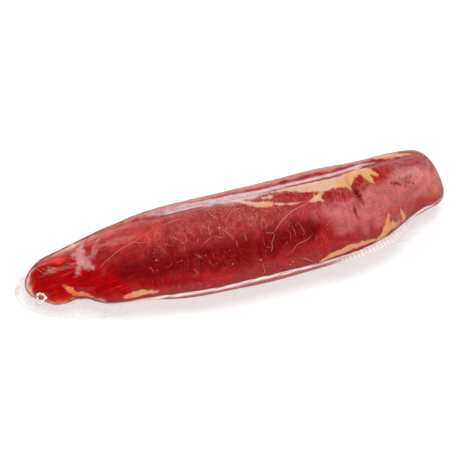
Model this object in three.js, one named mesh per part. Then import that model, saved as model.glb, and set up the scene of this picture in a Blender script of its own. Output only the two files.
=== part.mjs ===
// A whole cured pork tenderloin, vacuum-sealed in a clear bag. Millimetres, +Z up.
// X runs from the thin tail (-X) to the blunt head (+X), and +Y is the straighter back edge.
// The film lies skin-tight on the meat, so meat and film share one solid, and the flat sealed
// edge of the bag, which stands off the meat all round, is a second thin solid.
import * as THREE from "three";

// Driving dimensions of the meat
const LENGTH = 264;
const TAIL_CAP = 17; // length over which the tail rounds to its tip
const HEAD_CAP = 13.8;
const TAIL_POWER = 2; // 2 is a round end, more is blunter
const HEAD_POWER = 2.8;
const TOP_POWER = 2.15; // roundness of the section above the seam
const HEAD_LEAN = 0.28; // how far the head's face leans back, mm for each mm of height
const LEAN_FROM = 0.78; // share of the length where the lean starts

// Profiles, each given at these shares of the length from tail to head
const STATIONS = [0, 0.08, 0.2, 0.38, 0.58, 0.8, 0.93, 1];
const FRONT_EDGE = [-3.4, -9.5, -20.5, -30.7, -32.8, -24.6, -7.2, -1.8];
const BACK_EDGE = [26, 29.2, 34.9, 35.4, 33.2, 33.8, 34.9, 35.1];
const RISE = [8.3, 10.8, 16.6, 23, 25, 24.5, 20.5, 17.6]; // crest above the seam
const SEAM_HEIGHT = [7.4, 8.9, 12.9, 17.4, 18.4, 17.9, 16.4, 15.4];
const UNDERSIDE = [1.5, 0.4, -0.8, -1.2, -1.2, -1.2, -0.6, 0.8]; // below 0 it is pressed flat
const UNDER_POWER = [1.6, 1.6, 1.75, 2.15, 2.3, 1.95, 1.6, 1.7]; // of the section below the seam

// Groove between the long muscle and the strap along its back
const GROOVE_ANGLE = [50, 52, 57, 62, 65, 68, 72, 74];
const GROOVE_DEPTH = 2.2;
const GROOVE_SPREAD = 7; // degrees
const GROOVE_START = [40, 85]; // it fades in between these places along the length
const GROOVE_END = [236, 256];

// Single swellings and hollows: place along the length, degrees round, reaches and height
const FORMS = [
  { name: "notch in the front of the tail", x: 30, deg: 185, reach: 7, spread: 36, height: -4.8 },
  { name: "pucker at the tip", x: 7, deg: 181, reach: 3.4, spread: 32, height: -3.2 },
  { name: "lobe behind the notch", x: 48, deg: 184, reach: 10, spread: 24, height: 1.5 },
  { name: "fat band along the top", x: 186, deg: 84, reach: 26, spread: 9, height: 1.1 },
  { name: "hollow past the fat", x: 213, deg: 95, reach: 11, spread: 9, height: -1.5 },
  { name: "belly of the long muscle", x: 176, deg: 118, reach: 20, spread: 24, height: 1.1 },
  { name: "shallow middle", x: 122, deg: 140, reach: 34, spread: 26, height: -0.7 },
  { name: "head muscle", x: 232, deg: 140, reach: 16, spread: 26, height: 0.9 },
  { name: "fat at the front of the head", x: 216, deg: 166, reach: 10, spread: 10, height: 0.8 },
  { name: "fat along the front", x: 182, deg: 172, reach: 16, spread: 7, height: 0.6 },
  { name: "fat at the front of the tail", x: 59, deg: 171, reach: 11, spread: 7, height: 0.6 },
];

// Creases where muscles meet: centre line from one place to another, half width and depth
const CREASES = [
  { name: "long crease", from: [199, 88], to: [200, 124], width: 2.2, depth: 2.2 },
  { name: "short crease", from: [193, 122], to: [193.5, 139], width: 1.6, depth: 1.5 },
  { name: "pitted crease", from: [224, 112], to: [243, 127], width: 2, depth: 1.1 },
  { name: "tail crease", from: [37, 78], to: [33, 118], width: 2, depth: 0.9 },
];
const MM_PER_DEGREE = 0.46; // mean, round the middle of the meat

// Low unevenness of the whole surface: waves that run along the length and round the section
const LUMPS = [
  { length: 13, turns: 2, phase: 0, height: 0.34 }, // length is mm for each radian of the wave
  { length: 21, turns: -3, phase: 1.3, height: 0.27 },
  { length: 8.5, turns: 4, phase: 2.1, height: 0.2 },
];
const RELIEF_SINES = [-0.95, -0.45]; // relief fades in between these, above the pressed underside

// Fibre bundles that run along the tail and sway a little
const FIBRE_HEIGHT = 0.42;
const FIBRE_COUNT = 11; // bundles round the section
const FIBRE_FADE = [28, 70]; // they fade out between these places
const FIBRE_SWAY = { height: 0.9, length: 9, twist: 24 };

// Sealed edge of the bag: how far it reaches out and droops at stations of its own
const SEAL_GAP = 0.6;
const SEAL_THICKNESS = 0.7; // at its free edge
const SEAL_ROOT = 1.6; // where its two sheets part to go round the meat
const SEAL_STATIONS = [0, 0.05, 0.13, 0.3, 0.5, 0.7, 0.8, 0.88, 0.94, 1];
const FRONT_REACH = [6.2, 5.8, 7.2, 3.3, 3.4, 3.8, 5.6, 9.6, 6, 2.4];
const FRONT_DROOP = [4, 4.4, 5.8, 2.2, 2.2, 1.4, 2.6, 6, 4, 1];
const BACK_REACH = [6.2, 3.6, 3, 3, 3, 3, 3, 3, 2.8, 2.4];
const BACK_DROOP = [4, 1.8, 1.4, 1.2, 1.2, 1.2, 1.2, 1.2, 1, 1];
const RUFFLE = [0.9, 0.9, 0.8, 0.3, 0.2, 0.25, 0.4, 0.8, 0.5, 0.2]; // height of its waves
const RUFFLE_LENGTH = 11;
const DROOP_POWER = 1.5; // 1 droops straight, more bends down towards the edge

// Fineness of the faceted solids
const CAP_ROWS = 8;
const BODY_STEP = 3;
const SECTION_POINTS = 40;
const SEAL_STEPS = [0, 0.3, 0.65, 1];

const radians = THREE.MathUtils.degToRad;
const { clamp, lerp, smoothstep } = THREE.MathUtils;

// Smooth curve through the values at the stations: cubic pieces with three-point slopes.
function profile(values, share, stations = STATIONS) {
  const t = clamp(share, 0, 1);
  const last = stations.length - 2;
  const i = Math.min(last, stations.findLastIndex((s) => s <= t));
  const step = (k) => stations[k + 1] - stations[k];
  const rate = (k) => (values[k + 1] - values[k]) / step(k);
  const slope = (k) => {
    if (k === 0) return rate(0);
    if (k === last + 1) return rate(last);
    return (rate(k - 1) * step(k) + rate(k) * step(k - 1)) / (step(k - 1) + step(k));
  };
  const f = (t - stations[i]) / step(i);
  const g = 1 - f;
  return (
    (1 + 2 * f) * g * g * values[i] +
    f * g * g * step(i) * slope(i) +
    f * f * (3 - 2 * f) * values[i + 1] -
    f * f * g * step(i) * slope(i + 1)
  );
}

// Share of the full section at x: 1 along the body, falling to 0 at both tips.
function fullness(x) {
  const round = (depth, power) => (1 - (1 - clamp(depth, 0, 1)) ** power) ** (1 / power);
  return round(x / TAIL_CAP, TAIL_POWER) * round((LENGTH - x) / HEAD_CAP, HEAD_POWER);
}

// Height of one rounded swelling or hollow.
function formHeight(form, x, deg) {
  const along = (x - form.x) / form.reach;
  const around = (deg - form.deg) / form.spread;
  return form.height * Math.exp(-along * along - around * around);
}

// Depth of one crease: a round-bottomed trench along a straight line on the unrolled surface.
function creaseDepth(crease, x, deg) {
  const [ax, ay] = [crease.from[0], crease.from[1] * MM_PER_DEGREE];
  const [bx, by] = [crease.to[0], crease.to[1] * MM_PER_DEGREE];
  const [dx, dy] = [bx - ax, by - ay];
  const [px, py] = [x - ax, deg * MM_PER_DEGREE - ay];
  const along = clamp((px * dx + py * dy) / (dx * dx + dy * dy), 0, 1);
  const off = Math.hypot(px - along * dx, py - along * dy);
  return crease.depth * Math.exp(-((off / crease.width) ** 2));
}

// Outward relief of the surface at a place along the length and an angle round the section.
function relief(x, deg) {
  const share = x / LENGTH;
  const turn = radians(deg);
  const side = smoothstep(Math.sin(turn), ...RELIEF_SINES);
  const grooveOff = (deg - profile(GROOVE_ANGLE, share)) / GROOVE_SPREAD;
  const grooveRun = smoothstep(x, ...GROOVE_START) * (1 - smoothstep(x, ...GROOVE_END));
  const groove = -GROOVE_DEPTH * grooveRun * Math.exp(-grooveOff * grooveOff);
  const lump = (wave) => wave.height * Math.sin(x / wave.length + wave.turns * turn + wave.phase);
  const lumps = LUMPS.reduce((sum, wave) => sum + lump(wave), 0);
  const sway = FIBRE_SWAY.height * Math.sin(x / FIBRE_SWAY.length) + x / FIBRE_SWAY.twist;
  const fibreRun = 1 - smoothstep(x, ...FIBRE_FADE);
  const fibres = FIBRE_HEIGHT * fibreRun * Math.sin(FIBRE_COUNT * turn + sway);
  const forms = FORMS.reduce((sum, form) => sum + formHeight(form, x, deg), 0);
  const creases = CREASES.reduce((sum, crease) => sum + creaseDepth(crease, x, deg), 0);
  return side * (groove + lumps + fibres + forms - creases);
}

// Point of the meat's surface: angle 0 is the back, 90 the crest, 180 the front.
function meatPoint(x, deg, withRelief = true) {
  const share = x / LENGTH;
  const full = fullness(x);
  const front = profile(FRONT_EDGE, share);
  const back = profile(BACK_EDGE, share);
  const seam = profile(SEAM_HEIGHT, share);
  const turn = radians(deg);
  const [c, s] = [Math.cos(turn), Math.sin(turn)];
  const power = 2 / (s >= 0 ? TOP_POWER : profile(UNDER_POWER, share));
  const reach = s >= 0 ? profile(RISE, share) : seam - profile(UNDERSIDE, share);
  const lift = withRelief ? relief(x, deg) : 0;
  const across = ((back - front) / 2) * Math.sign(c) * Math.abs(c) ** power;
  const upward = reach * Math.sign(s) * Math.abs(s) ** power;
  const y = (front + back) / 2 + full * (across + lift * c);
  const z = seam + full * (upward + lift * s);
  const lean = HEAD_LEAN * smoothstep(share, LEAN_FROM, 1);
  return new THREE.Vector3(x - lean * (z - seam), y, Math.max(z, 0));
}

// Places of the section rows, closer together where the ends round off.
function rowPlaces() {
  const turn = (i) => 1 - Math.cos(((i / CAP_ROWS) * Math.PI) / 2);
  const tail = Array.from({ length: CAP_ROWS }, (_, i) => TAIL_CAP * turn(i));
  const head = Array.from({ length: CAP_ROWS }, (_, i) => LENGTH - HEAD_CAP * turn(i)).reverse();
  const bodyLength = LENGTH - TAIL_CAP - HEAD_CAP;
  const steps = Math.round(bodyLength / BODY_STEP);
  const body = Array.from({ length: steps + 1 }, (_, i) => TAIL_CAP + (bodyLength * i) / steps);
  return [...tail, ...body, ...head];
}

// Geometry from a list of points and a list of triangles that index them.
function geometryOf(points, triangles) {
  const geometry = new THREE.BufferGeometry().setFromPoints(points);
  geometry.setIndex(triangles.flat());
  geometry.computeVertexNormals();
  return geometry;
}

// Two triangles for each cell between neighbouring rings, joined round each ring.
function ringTriangles(rings, around, first = 0, closed = false) {
  const triangles = [];
  const count = closed ? rings : rings - 1;
  for (let i = 0; i < count; i++) {
    for (let j = 0; j < around; j++) {
      const a = first + i * around + j;
      const b = first + i * around + ((j + 1) % around);
      const c = first + ((i + 1) % rings) * around + j;
      const d = first + ((i + 1) % rings) * around + ((j + 1) % around);
      triangles.push([a, b, d], [a, d, c]);
    }
  }
  return triangles;
}

// The meat in its skin-tight film: rings between the two tips, closed by fans.
function tenderloinGeometry() {
  const places = rowPlaces();
  const rings = places.slice(1, -1);
  const points = [meatPoint(places[0], 0), meatPoint(places.at(-1), 0)];
  for (const x of rings) {
    for (let j = 0; j < SECTION_POINTS; j++) {
      points.push(meatPoint(x, (360 * j) / SECTION_POINTS));
    }
  }
  const triangles = ringTriangles(rings.length, SECTION_POINTS, 2);
  const lastRing = 2 + (rings.length - 1) * SECTION_POINTS;
  for (let j = 0; j < SECTION_POINTS; j++) {
    const next = (j + 1) % SECTION_POINTS;
    triangles.push([0, 2 + next, 2 + j], [1, lastRing + j, lastRing + next]);
  }
  return geometryOf(points, triangles);
}

// Plan outline at the seam, along the front to the head and home along the back.
function seamStations() {
  const places = rowPlaces();
  const front = places.map((x) => ({ x, deg: 180, reach: FRONT_REACH, droop: FRONT_DROOP }));
  const back = places.slice(1, -1).map((x) => ({ x, deg: 0, reach: BACK_REACH, droop: BACK_DROOP }));
  return [...front, ...back.reverse()];
}

// Outward direction in plan at each point of a closed outline.
function outwardDirections(outline) {
  const count = outline.length;
  return outline.map((_, i) => {
    const before = outline[(i + count - 1) % count];
    const after = outline[(i + 1) % count];
    return new THREE.Vector3(after.y - before.y, before.x - after.x, 0).normalize();
  });
}

// The bag's sealed edge: a thin wedge carried round the seam, drooping and ruffled outwards.
function sealGeometry() {
  const stations = seamStations();
  const inner = stations.map(({ x, deg }) => meatPoint(x, deg));
  const smooth = stations.map(({ x, deg }) => meatPoint(x, deg, false));
  const innerOut = outwardDirections(inner);
  const smoothOut = outwardDirections(smooth);
  const points = [];
  let arc = 0;
  stations.forEach(({ x, reach, droop }, i) => {
    const at = (values) => profile(values, x / LENGTH, SEAL_STATIONS);
    if (i > 0) arc += smooth[i].distanceTo(smooth[i - 1]);
    const root = inner[i].clone().addScaledVector(innerOut[i], SEAL_GAP);
    const edge = smooth[i].clone().addScaledVector(smoothOut[i], at(reach));
    const wave = at(RUFFLE) * Math.sin((2 * Math.PI * arc) / RUFFLE_LENGTH);
    const sheet = (across, side) => {
      const point = root.clone().lerp(edge, across);
      const half = lerp(SEAL_ROOT, SEAL_THICKNESS, Math.sqrt(across)) / 2;
      point.z += side * half - at(droop) * across ** DROOP_POWER + wave * across * across;
      return point;
    };
    SEAL_STEPS.forEach((across) => points.push(sheet(across, 1)));
    [...SEAL_STEPS].reverse().forEach((across) => points.push(sheet(across, -1)));
  });
  const around = 2 * SEAL_STEPS.length;
  return geometryOf(points, ringTriangles(stations.length, around, 0, true));
}

function part(name, geometry, material) {
  const mesh = new THREE.Mesh(geometry, material);
  mesh.name = name;
  return mesh;
}

const curedMeat = new THREE.MeshStandardMaterial({ color: 0x9a1a1c, roughness: 0.3, metalness: 0 });
const clearFilm = new THREE.MeshStandardMaterial({
  color: 0xe9e7e6,
  roughness: 0.2,
  metalness: 0,
  transparent: true,
  opacity: 0.5,
});

const pack = new THREE.Group();
pack.add(part("tenderloin", tenderloinGeometry(), curedMeat));
pack.add(part("sealed_edge", sealGeometry(), clearFilm));

// The origin is the middle of the whole pack's box, on the surface that it lies on.
const box = new THREE.Box3().setFromObject(pack);
const middle = box.getCenter(new THREE.Vector3());
pack.position.set(-middle.x, -middle.y, -box.min.z);

const packedTenderloin = new THREE.Group();
packedTenderloin.add(pack);

export default packedTenderloin;
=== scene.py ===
"""Looks of a whole cured pork tenderloin, shrunk tight in a clear vacuum bag.

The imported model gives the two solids: the filled body of the bag and its flat sealed edge. Here the body
becomes meat, fat, connective threads and the skin-tight film, and the edge becomes two welded sheets.
Shapes are worked out in millimetres on grids and go into the meshes in metres.
"""
from __future__ import annotations

import logging
from dataclasses import dataclass, field
from enum import Enum
from typing import Any, Sequence

import bpy
import numpy as np
from mathutils import Matrix, Vector

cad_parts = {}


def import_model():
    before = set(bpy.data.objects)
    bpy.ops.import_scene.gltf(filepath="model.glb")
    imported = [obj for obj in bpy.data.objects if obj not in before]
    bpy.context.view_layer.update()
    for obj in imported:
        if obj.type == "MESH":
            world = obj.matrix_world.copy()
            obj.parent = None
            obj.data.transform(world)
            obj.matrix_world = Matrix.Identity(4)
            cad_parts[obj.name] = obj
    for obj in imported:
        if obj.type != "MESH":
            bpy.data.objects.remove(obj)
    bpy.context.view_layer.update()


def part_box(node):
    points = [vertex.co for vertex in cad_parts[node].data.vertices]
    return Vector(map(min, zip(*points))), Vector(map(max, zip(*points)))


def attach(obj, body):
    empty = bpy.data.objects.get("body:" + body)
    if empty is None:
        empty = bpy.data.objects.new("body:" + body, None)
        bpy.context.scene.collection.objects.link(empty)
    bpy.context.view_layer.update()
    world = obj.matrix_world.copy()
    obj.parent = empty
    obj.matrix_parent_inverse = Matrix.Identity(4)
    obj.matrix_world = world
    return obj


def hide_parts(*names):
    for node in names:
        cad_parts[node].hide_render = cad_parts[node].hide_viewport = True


LOG = logging.getLogger("tenderloin")
MM = 0.001  # metres in a millimetre
BODY = "root"
Values = Sequence[float]
Span = tuple[float, float]  # a lower and an upper value
Place = tuple[float, float]  # mm from the tail's tip, degrees round: 0 back, 90 crest, 180 front
Spot = tuple[float, float, float]  # a place and a half width in mm

# Sockets of the Mix node when it mixes colours, and of the Map Range node
MIX_FACTOR, MIX_A, MIX_B, MIX_COLOUR = 0, 6, 7, 2
RANGE = ("Value", "From Min", "From Max", "To Min", "To Max")


class Slot(Enum):
    """Names of the material slots."""

    MEAT = "cured_meat"
    FILM = "clear_film"


def linear(colour: str) -> tuple[float, float, float, float]:
    """Linear colour of an sRGB hex value.

    Args:
        colour: six hex digits with a leading #.

    Returns:
        Red, green, blue and alpha, for a node's socket.
    """
    srgb = np.array([int(colour[i : i + 2], 16) for i in (1, 3, 5)]) / 255
    rgb = np.where(srgb <= 0.04045, srgb / 12.92, ((srgb + 0.055) / 1.055) ** 2.4)
    return (*(float(c) for c in rgb), 1.0)


def smooth(low: float, high: float, value: np.ndarray) -> np.ndarray:
    """Smooth step: 0 below low, 1 above high, and 3t^2 - 2t^3 between them.

    Args:
        low: where the step starts.
        high: where it ends.
        value: places along it.

    Returns:
        The step's height at each value.
    """
    t = np.clip((value - low) / (high - low), 0, 1)
    return t * t * (3 - 2 * t)


def add_node(
    tree: bpy.types.NodeTree, kind: str, inputs: dict | None = None, output: str | int = 0, **settings: Any
) -> bpy.types.NodeSocket:
    """Adds one shader node.

    Args:
        tree: the material's node tree.
        kind: the node's type name.
        inputs: socket name or number to a value, or to the output that drives it.
        output: name or number of the output that is wanted.
        settings: the node's own properties.

    Returns:
        The new node's output.
    """
    node = tree.nodes.new(kind)
    for name, value in settings.items():
        setattr(node, name, value)
    for key, value in (inputs or {}).items():
        socket = node.inputs[key]
        if isinstance(value, bpy.types.NodeSocket):
            tree.links.new(value, socket)
        else:
            socket.default_value = value
    return node.outputs[output]


def unevened(tree: bpy.types.NodeTree, value: Any, swings: Sequence[tuple[Any, Any]]) -> bpy.types.NodeSocket:
    """Adds noises to a value: value + sum of share * (noise - 1/2).

    Args:
        tree: the material's node tree.
        value: what they are added to.
        swings: each noise with its share.

    Returns:
        The uneven value.
    """
    for noise, share in swings:
        swing = add_node(tree, "ShaderNodeMath", {0: noise, 1: 0.5}, operation="SUBTRACT")
        value = add_node(tree, "ShaderNodeMath", {0: swing, 1: share, 2: value}, operation="MULTIPLY_ADD")
    return value


def layered(
    tree: bpy.types.NodeTree, colour: Any, layers: Sequence[tuple[tuple, Any]]
) -> bpy.types.NodeSocket:
    """Lays colours over a colour, one after another.

    Args:
        tree: the material's node tree.
        colour: the lowest colour.
        layers: the factors whose product is a layer's share, and its colour.

    Returns:
        The blended colour.
    """
    for (share, *factors), over in layers:
        for factor in factors:
            share = add_node(tree, "ShaderNodeMath", {0: share, 1: factor}, operation="MULTIPLY")
        sockets = {MIX_FACTOR: share, MIX_A: colour, MIX_B: over}
        colour = add_node(tree, "ShaderNodeMix", sockets, MIX_COLOUR, data_type="RGBA")
    return colour


@dataclass(frozen=True)
class Ripples:
    """Soft random unevenness: many plane waves of about one length, in random directions."""

    length: float  # mm
    seed: int
    waves: int = 28
    spread: Span = (0.7, 1.5)  # shares of the length between which the waves' lengths lie

    def at(self, points: np.ndarray) -> np.ndarray:
        """Sum of sin(k.p + phase) over the waves, scaled to a spread of about 1.

        Args:
            points: places in mm, three numbers each.

        Returns:
            Height at each place.
        """
        draw = np.random.default_rng(self.seed)
        towards = draw.normal(size=(3, self.waves))
        towards /= np.linalg.norm(towards, axis=0)
        lengths = self.length * draw.uniform(*self.spread, self.waves)
        phases = draw.uniform(0, 2 * np.pi, self.waves)
        heights = np.sin(points @ (towards * 2 * np.pi / lengths) + phases)
        return heights.sum(-1) * np.sqrt(2 / self.waves)


@dataclass(frozen=True)
class Swelling:
    """A rounded swelling or hollow of the body, in mm and degrees."""

    x: float
    deg: float
    reach: float
    spread: float
    height: float


@dataclass(frozen=True)
class Crease:
    """A round-bottomed trench where muscles meet, from one place to another."""

    start: Place
    end: Place
    width: float
    depth: float


@dataclass(frozen=True)
class Wave:
    """One wave of the body's low unevenness, along the length and round the section."""

    length: float
    turns: int
    phase: float
    height: float


@dataclass(frozen=True)
class BodyForm:
    """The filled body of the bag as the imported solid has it, in millimetres from the tail's tip."""

    length: float = 264
    tail_cap: float = 17
    head_cap: float = 13.8
    tail_power: float = 2
    head_power: float = 2.8
    top_power: float = 2.15
    head_lean: float = 0.28
    lean_from: float = 0.78
    height_share: float = 0.994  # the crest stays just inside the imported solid
    stations: Values = (0, 0.08, 0.2, 0.38, 0.58, 0.8, 0.93, 1)
    front_edge: Values = (-3.4, -9.5, -20.5, -30.7, -32.8, -24.6, -7.2, -1.8)
    back_edge: Values = (26, 29.2, 34.9, 35.4, 33.2, 33.8, 34.9, 35.1)
    rise: Values = (8.3, 10.8, 16.6, 23, 25, 24.5, 20.5, 17.6)
    seam_height: Values = (7.4, 8.9, 12.9, 17.4, 18.4, 17.9, 16.4, 15.4)
    underside: Values = (1.5, 0.4, -0.8, -1.2, -1.2, -1.2, -0.6, 0.8)
    under_power: Values = (1.6, 1.6, 1.75, 2.15, 2.3, 1.95, 1.6, 1.7)
    groove_angle: Values = (50, 52, 57, 62, 65, 68, 72, 74)
    groove_depth: float = 2.2
    groove_spread: float = 7
    groove_start: Values = (40, 85)
    groove_end: Values = (236, 256)
    swellings: tuple[Swelling, ...] = (
        Swelling(30, 185, 7, 36, -4.8),  # notch in the front of the tail
        Swelling(7, 181, 3.4, 32, -3.2),  # pucker at the tip
        Swelling(48, 184, 10, 24, 1.5),  # lobe behind the notch
        Swelling(186, 84, 26, 9, 1.1),  # fat band along the top
        Swelling(213, 95, 11, 9, -1.5),  # hollow past the fat
        Swelling(176, 118, 20, 24, 1.1),  # belly of the long muscle
        Swelling(122, 140, 34, 26, -0.7),  # shallow middle
        Swelling(232, 140, 16, 26, 0.9),  # head muscle
        Swelling(216, 166, 10, 10, 0.8),  # fat at the front of the head
        Swelling(182, 172, 16, 7, 0.6),  # fat along the front
        Swelling(59, 171, 11, 7, 0.6),  # fat at the front of the tail
    )
    creases: tuple[Crease, ...] = (
        Crease((199, 88), (200, 124), 2.2, 2.2),
        Crease((193, 122), (193.5, 139), 1.6, 1.5),
        Crease((224, 112), (243, 127), 2, 1.1),
        Crease((37, 78), (33, 118), 2, 0.9),
    )
    mm_per_degree: float = 0.46
    lumps: tuple[Wave, ...] = (
        Wave(13, 2, 0, 0.34),
        Wave(21, -3, 1.3, 0.27),
        Wave(8.5, 4, 2.1, 0.2),
    )
    relief_sines: Values = (-0.95, -0.45)
    fibre_height: float = 0.42
    fibre_count: int = 11
    fibre_fade: Values = (28, 70)
    fibre_sway: Values = (0.9, 9, 24)
    dense_from: Span = (-60, -10)  # degrees between which the section's points crowd together
    dense_to: Span = (195, 240)  # and spread out again

    def profile(self, values: Values, x: np.ndarray, stations: Values | None = None) -> np.ndarray:
        """Smooth curve through the values at the stations: cubic Hermite pieces with three-point slopes.

        Args:
            values: one number for each station.
            x: places along the length, mm.
            stations: shares of the length, the body's own if None.

        Returns:
            The curve at each place.
        """
        s = np.asarray(stations or self.stations, float)
        v = np.asarray(values, float)
        step = np.diff(s)
        rate = np.diff(v) / step
        slope = np.empty_like(v)
        slope[1:-1] = (rate[:-1] * step[1:] + rate[1:] * step[:-1]) / (step[:-1] + step[1:])
        slope[0], slope[-1] = rate[0], rate[-1]
        t = np.clip(np.asarray(x, float) / self.length, 0, 1)
        i = np.clip(np.searchsorted(s, t, side="right") - 1, 0, len(s) - 2)
        f = (t - s[i]) / step[i]
        g = 1 - f
        rise = (1 + 2 * f) * g * g * v[i] + f * g * g * step[i] * slope[i]
        return rise + f * f * (3 - 2 * f) * v[i + 1] - f * f * g * step[i] * slope[i + 1]

    def mid_line(self, x: np.ndarray) -> np.ndarray:
        """Half way between the front and back edges, mm."""
        return (self.profile(self.front_edge, x) + self.profile(self.back_edge, x)) / 2

    def fullness(self, x: np.ndarray) -> np.ndarray:
        """Share of the full section: 1 along the body and 0 at both tips, (1 - (1 - depth)^n)^(1/n) between.

        Args:
            x: places along the length, mm.

        Returns:
            Shares from 0 to 1.
        """
        tail = np.clip(x / self.tail_cap, 0, 1)
        head = np.clip((self.length - x) / self.head_cap, 0, 1)
        tail_round = (1 - (1 - tail) ** self.tail_power) ** (1 / self.tail_power)
        return tail_round * (1 - (1 - head) ** self.head_power) ** (1 / self.head_power)

    def scale_round(self, x: np.ndarray) -> np.ndarray:
        """Millimetres for each degree round the top half: a half ellipse's mean radius times pi / 180.

        Args:
            x: places along the length, mm.

        Returns:
            Millimetres for one degree at each place.
        """
        half = (self.profile(self.back_edge, x) - self.profile(self.front_edge, x)) / 2
        radius = self.fullness(x) * np.sqrt((half**2 + self.profile(self.rise, x) ** 2) / 2)
        return np.maximum(np.pi * radius / 180, 0.02)

    def relief(self, x: np.ndarray, deg: np.ndarray) -> np.ndarray:
        """Outward relief: groove, waves, fibres, swellings and creases, none of it underneath.

        Args:
            x: places along the length, mm.
            deg: angles round, degrees.

        Returns:
            Millimetres outward.
        """
        turn = np.radians(deg)
        off = (deg - self.profile(self.groove_angle, x)) / self.groove_spread
        run = smooth(*self.groove_start, x) * (1 - smooth(*self.groove_end, x))
        height = -self.groove_depth * run * np.exp(-off * off)
        for wave in self.lumps:
            height = height + wave.height * np.sin(x / wave.length + wave.turns * turn + wave.phase)
        swing, sway_length, twist = self.fibre_sway
        sway = swing * np.sin(x / sway_length) + x / twist
        fibres = self.fibre_height * (1 - smooth(*self.fibre_fade, x))
        height = height + fibres * np.sin(self.fibre_count * turn + sway)
        for form in self.swellings:
            along, around = (x - form.x) / form.reach, (deg - form.deg) / form.spread
            height = height + form.height * np.exp(-along * along - around * around)
        for crease in self.creases:
            height = height - crease.depth * self.trench(crease, x, deg, crease.width)
        return smooth(*self.relief_sines, np.sin(turn)) * height

    def trench(self, crease: Crease, x: np.ndarray, deg: np.ndarray, width: float) -> np.ndarray:
        """Share of a crease's depth: exp(-(distance / width)^2) from its centre line.

        Args:
            crease: the crease.
            x: places along the length, mm.
            deg: angles round, degrees.
            width: half width, mm.

        Returns:
            1 on the centre line, falling to 0 beside it.
        """
        ax, ay = crease.start[0], crease.start[1] * self.mm_per_degree
        dx, dy = crease.end[0] - ax, crease.end[1] * self.mm_per_degree - ay
        px, py = x - ax, deg * self.mm_per_degree - ay
        along = np.clip((px * dx + py * dy) / (dx * dx + dy * dy), 0, 1)
        return np.exp(-(((px - along * dx) ** 2 + (py - along * dy) ** 2) / width**2))

    def surface(self, x: np.ndarray, deg: np.ndarray, relief: bool = True) -> np.ndarray:
        """Point of the body: a superellipse above and below the seam, plus relief along the radius.

        Args:
            x: places along the length, mm.
            deg: angles round, degrees, 0 at the back and 90 at the crest.
            relief: whether the relief is added.

        Returns:
            Points in mm, with the tail's tip at x = 0 and the floor at z = 0.
        """
        x, deg = np.broadcast_arrays(np.asarray(x, float), np.asarray(deg, float))
        full = self.fullness(x)
        front, back = self.profile(self.front_edge, x), self.profile(self.back_edge, x)
        seam = self.profile(self.seam_height, x)
        c, s = np.cos(np.radians(deg)), np.sin(np.radians(deg))
        power = 2 / np.where(s >= 0, self.top_power, self.profile(self.under_power, x))
        reach = np.where(s >= 0, self.profile(self.rise, x), seam - self.profile(self.underside, x))
        lift = self.relief(x, deg) if relief else 0.0
        y = (front + back) / 2 + full * ((back - front) / 2 * np.sign(c) * np.abs(c) ** power + lift * c)
        z = seam + full * (reach * np.sign(s) * np.abs(s) ** power + lift * s)
        lean = self.head_lean * smooth(self.lean_from, 1, x / self.length)
        return np.stack([x - lean * (z - seam), y, np.maximum(self.height_share * z, 0)], -1)

    def rows(self, caps: int, body: int) -> np.ndarray:
        """Places of the section rows, closer together where the ends round off, without the tips.

        Args:
            caps: rows in each rounded end.
            body: rows between them.

        Returns:
            Places in mm.
        """
        turn = 1 - np.cos(np.arange(caps) / caps * np.pi / 2)
        middle = np.linspace(self.tail_cap, self.length - self.head_cap, body)
        head = self.length - self.head_cap * turn[::-1]
        return np.concatenate([self.tail_cap * turn, middle, head])[1:-1]

    def angles(self, count: int, under: float = 0.45) -> np.ndarray:
        """Angles of the section's points, closer together on the side that shows.

        Args:
            count: points round the section.
            under: how dense they are underneath, as a share of the density on top.

        Returns:
            Angles in degrees, from 0.
        """
        fine = np.linspace(0, 360, 3601)
        showing = smooth(*self.dense_from, fine - 360) + 1 - smooth(*self.dense_to, fine)
        dense = under + (1 - under) * showing
        total = np.concatenate([[0], np.cumsum((dense[1:] + dense[:-1]) / 2)])
        return np.interp(np.arange(count) / count * total[-1], total, fine)


@dataclass(frozen=True)
class Streak:
    """A patch on the unrolled surface: a spine of spots whose half widths are in mm."""

    spots: tuple[Spot, ...]
    tone: float = 0.0

    def depth(self, form: BodyForm, x: np.ndarray, deg: np.ndarray) -> np.ndarray:
        """How far inside the patch a place lies: half width less distance, largest over the spine's pieces.

        Args:
            form: the body.
            x: places along the length, mm.
            deg: angles round, degrees.

        Returns:
            Millimetres, positive inside.
        """
        best = np.full(np.broadcast(x, deg).shape, -99.0)
        spots = self.spots if len(self.spots) > 1 else self.spots * 2
        for (ax, ad, aw), (bx, bd, bw) in zip(spots, spots[1:]):
            k = form.scale_round(np.array((ax + bx) / 2))
            dx, dy = bx - ax, (bd - ad) * k
            px, py = x - ax, (deg - ad) * k
            along = np.clip((px * dx + py * dy) / max(dx * dx + dy * dy, 1e-6), 0, 1)
            off = np.hypot(px - along * dx, py - along * dy)
            best = np.maximum(best, aw + (bw - aw) * along - off)
        return best


def depth_in(patches: Sequence[Streak], form: BodyForm, x: np.ndarray, deg: np.ndarray) -> np.ndarray:
    """Largest depth inside any of the patches, in mm."""
    return np.max([patch.depth(form, x, deg) for patch in patches], axis=0)


@dataclass(frozen=True)
class Region:
    """A soft field of colour on the meat: a patch, its colour, its share and how softly it ends in mm."""

    colour: str
    share: float
    soft: float
    spots: tuple[Spot, ...]
    shift: float = 0.35  # how far the unevenness moves the edge, as a share of its softness

    def over(self, form: BodyForm, x: np.ndarray, deg: np.ndarray, uneven: np.ndarray) -> np.ndarray:
        """Share of the region's colour at each place, with its edge moved about by a soft unevenness."""
        depth = Streak(self.spots).depth(form, x, deg)
        return self.share * smooth(-self.soft, self.soft, depth + self.shift * self.soft * uneven)


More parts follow.
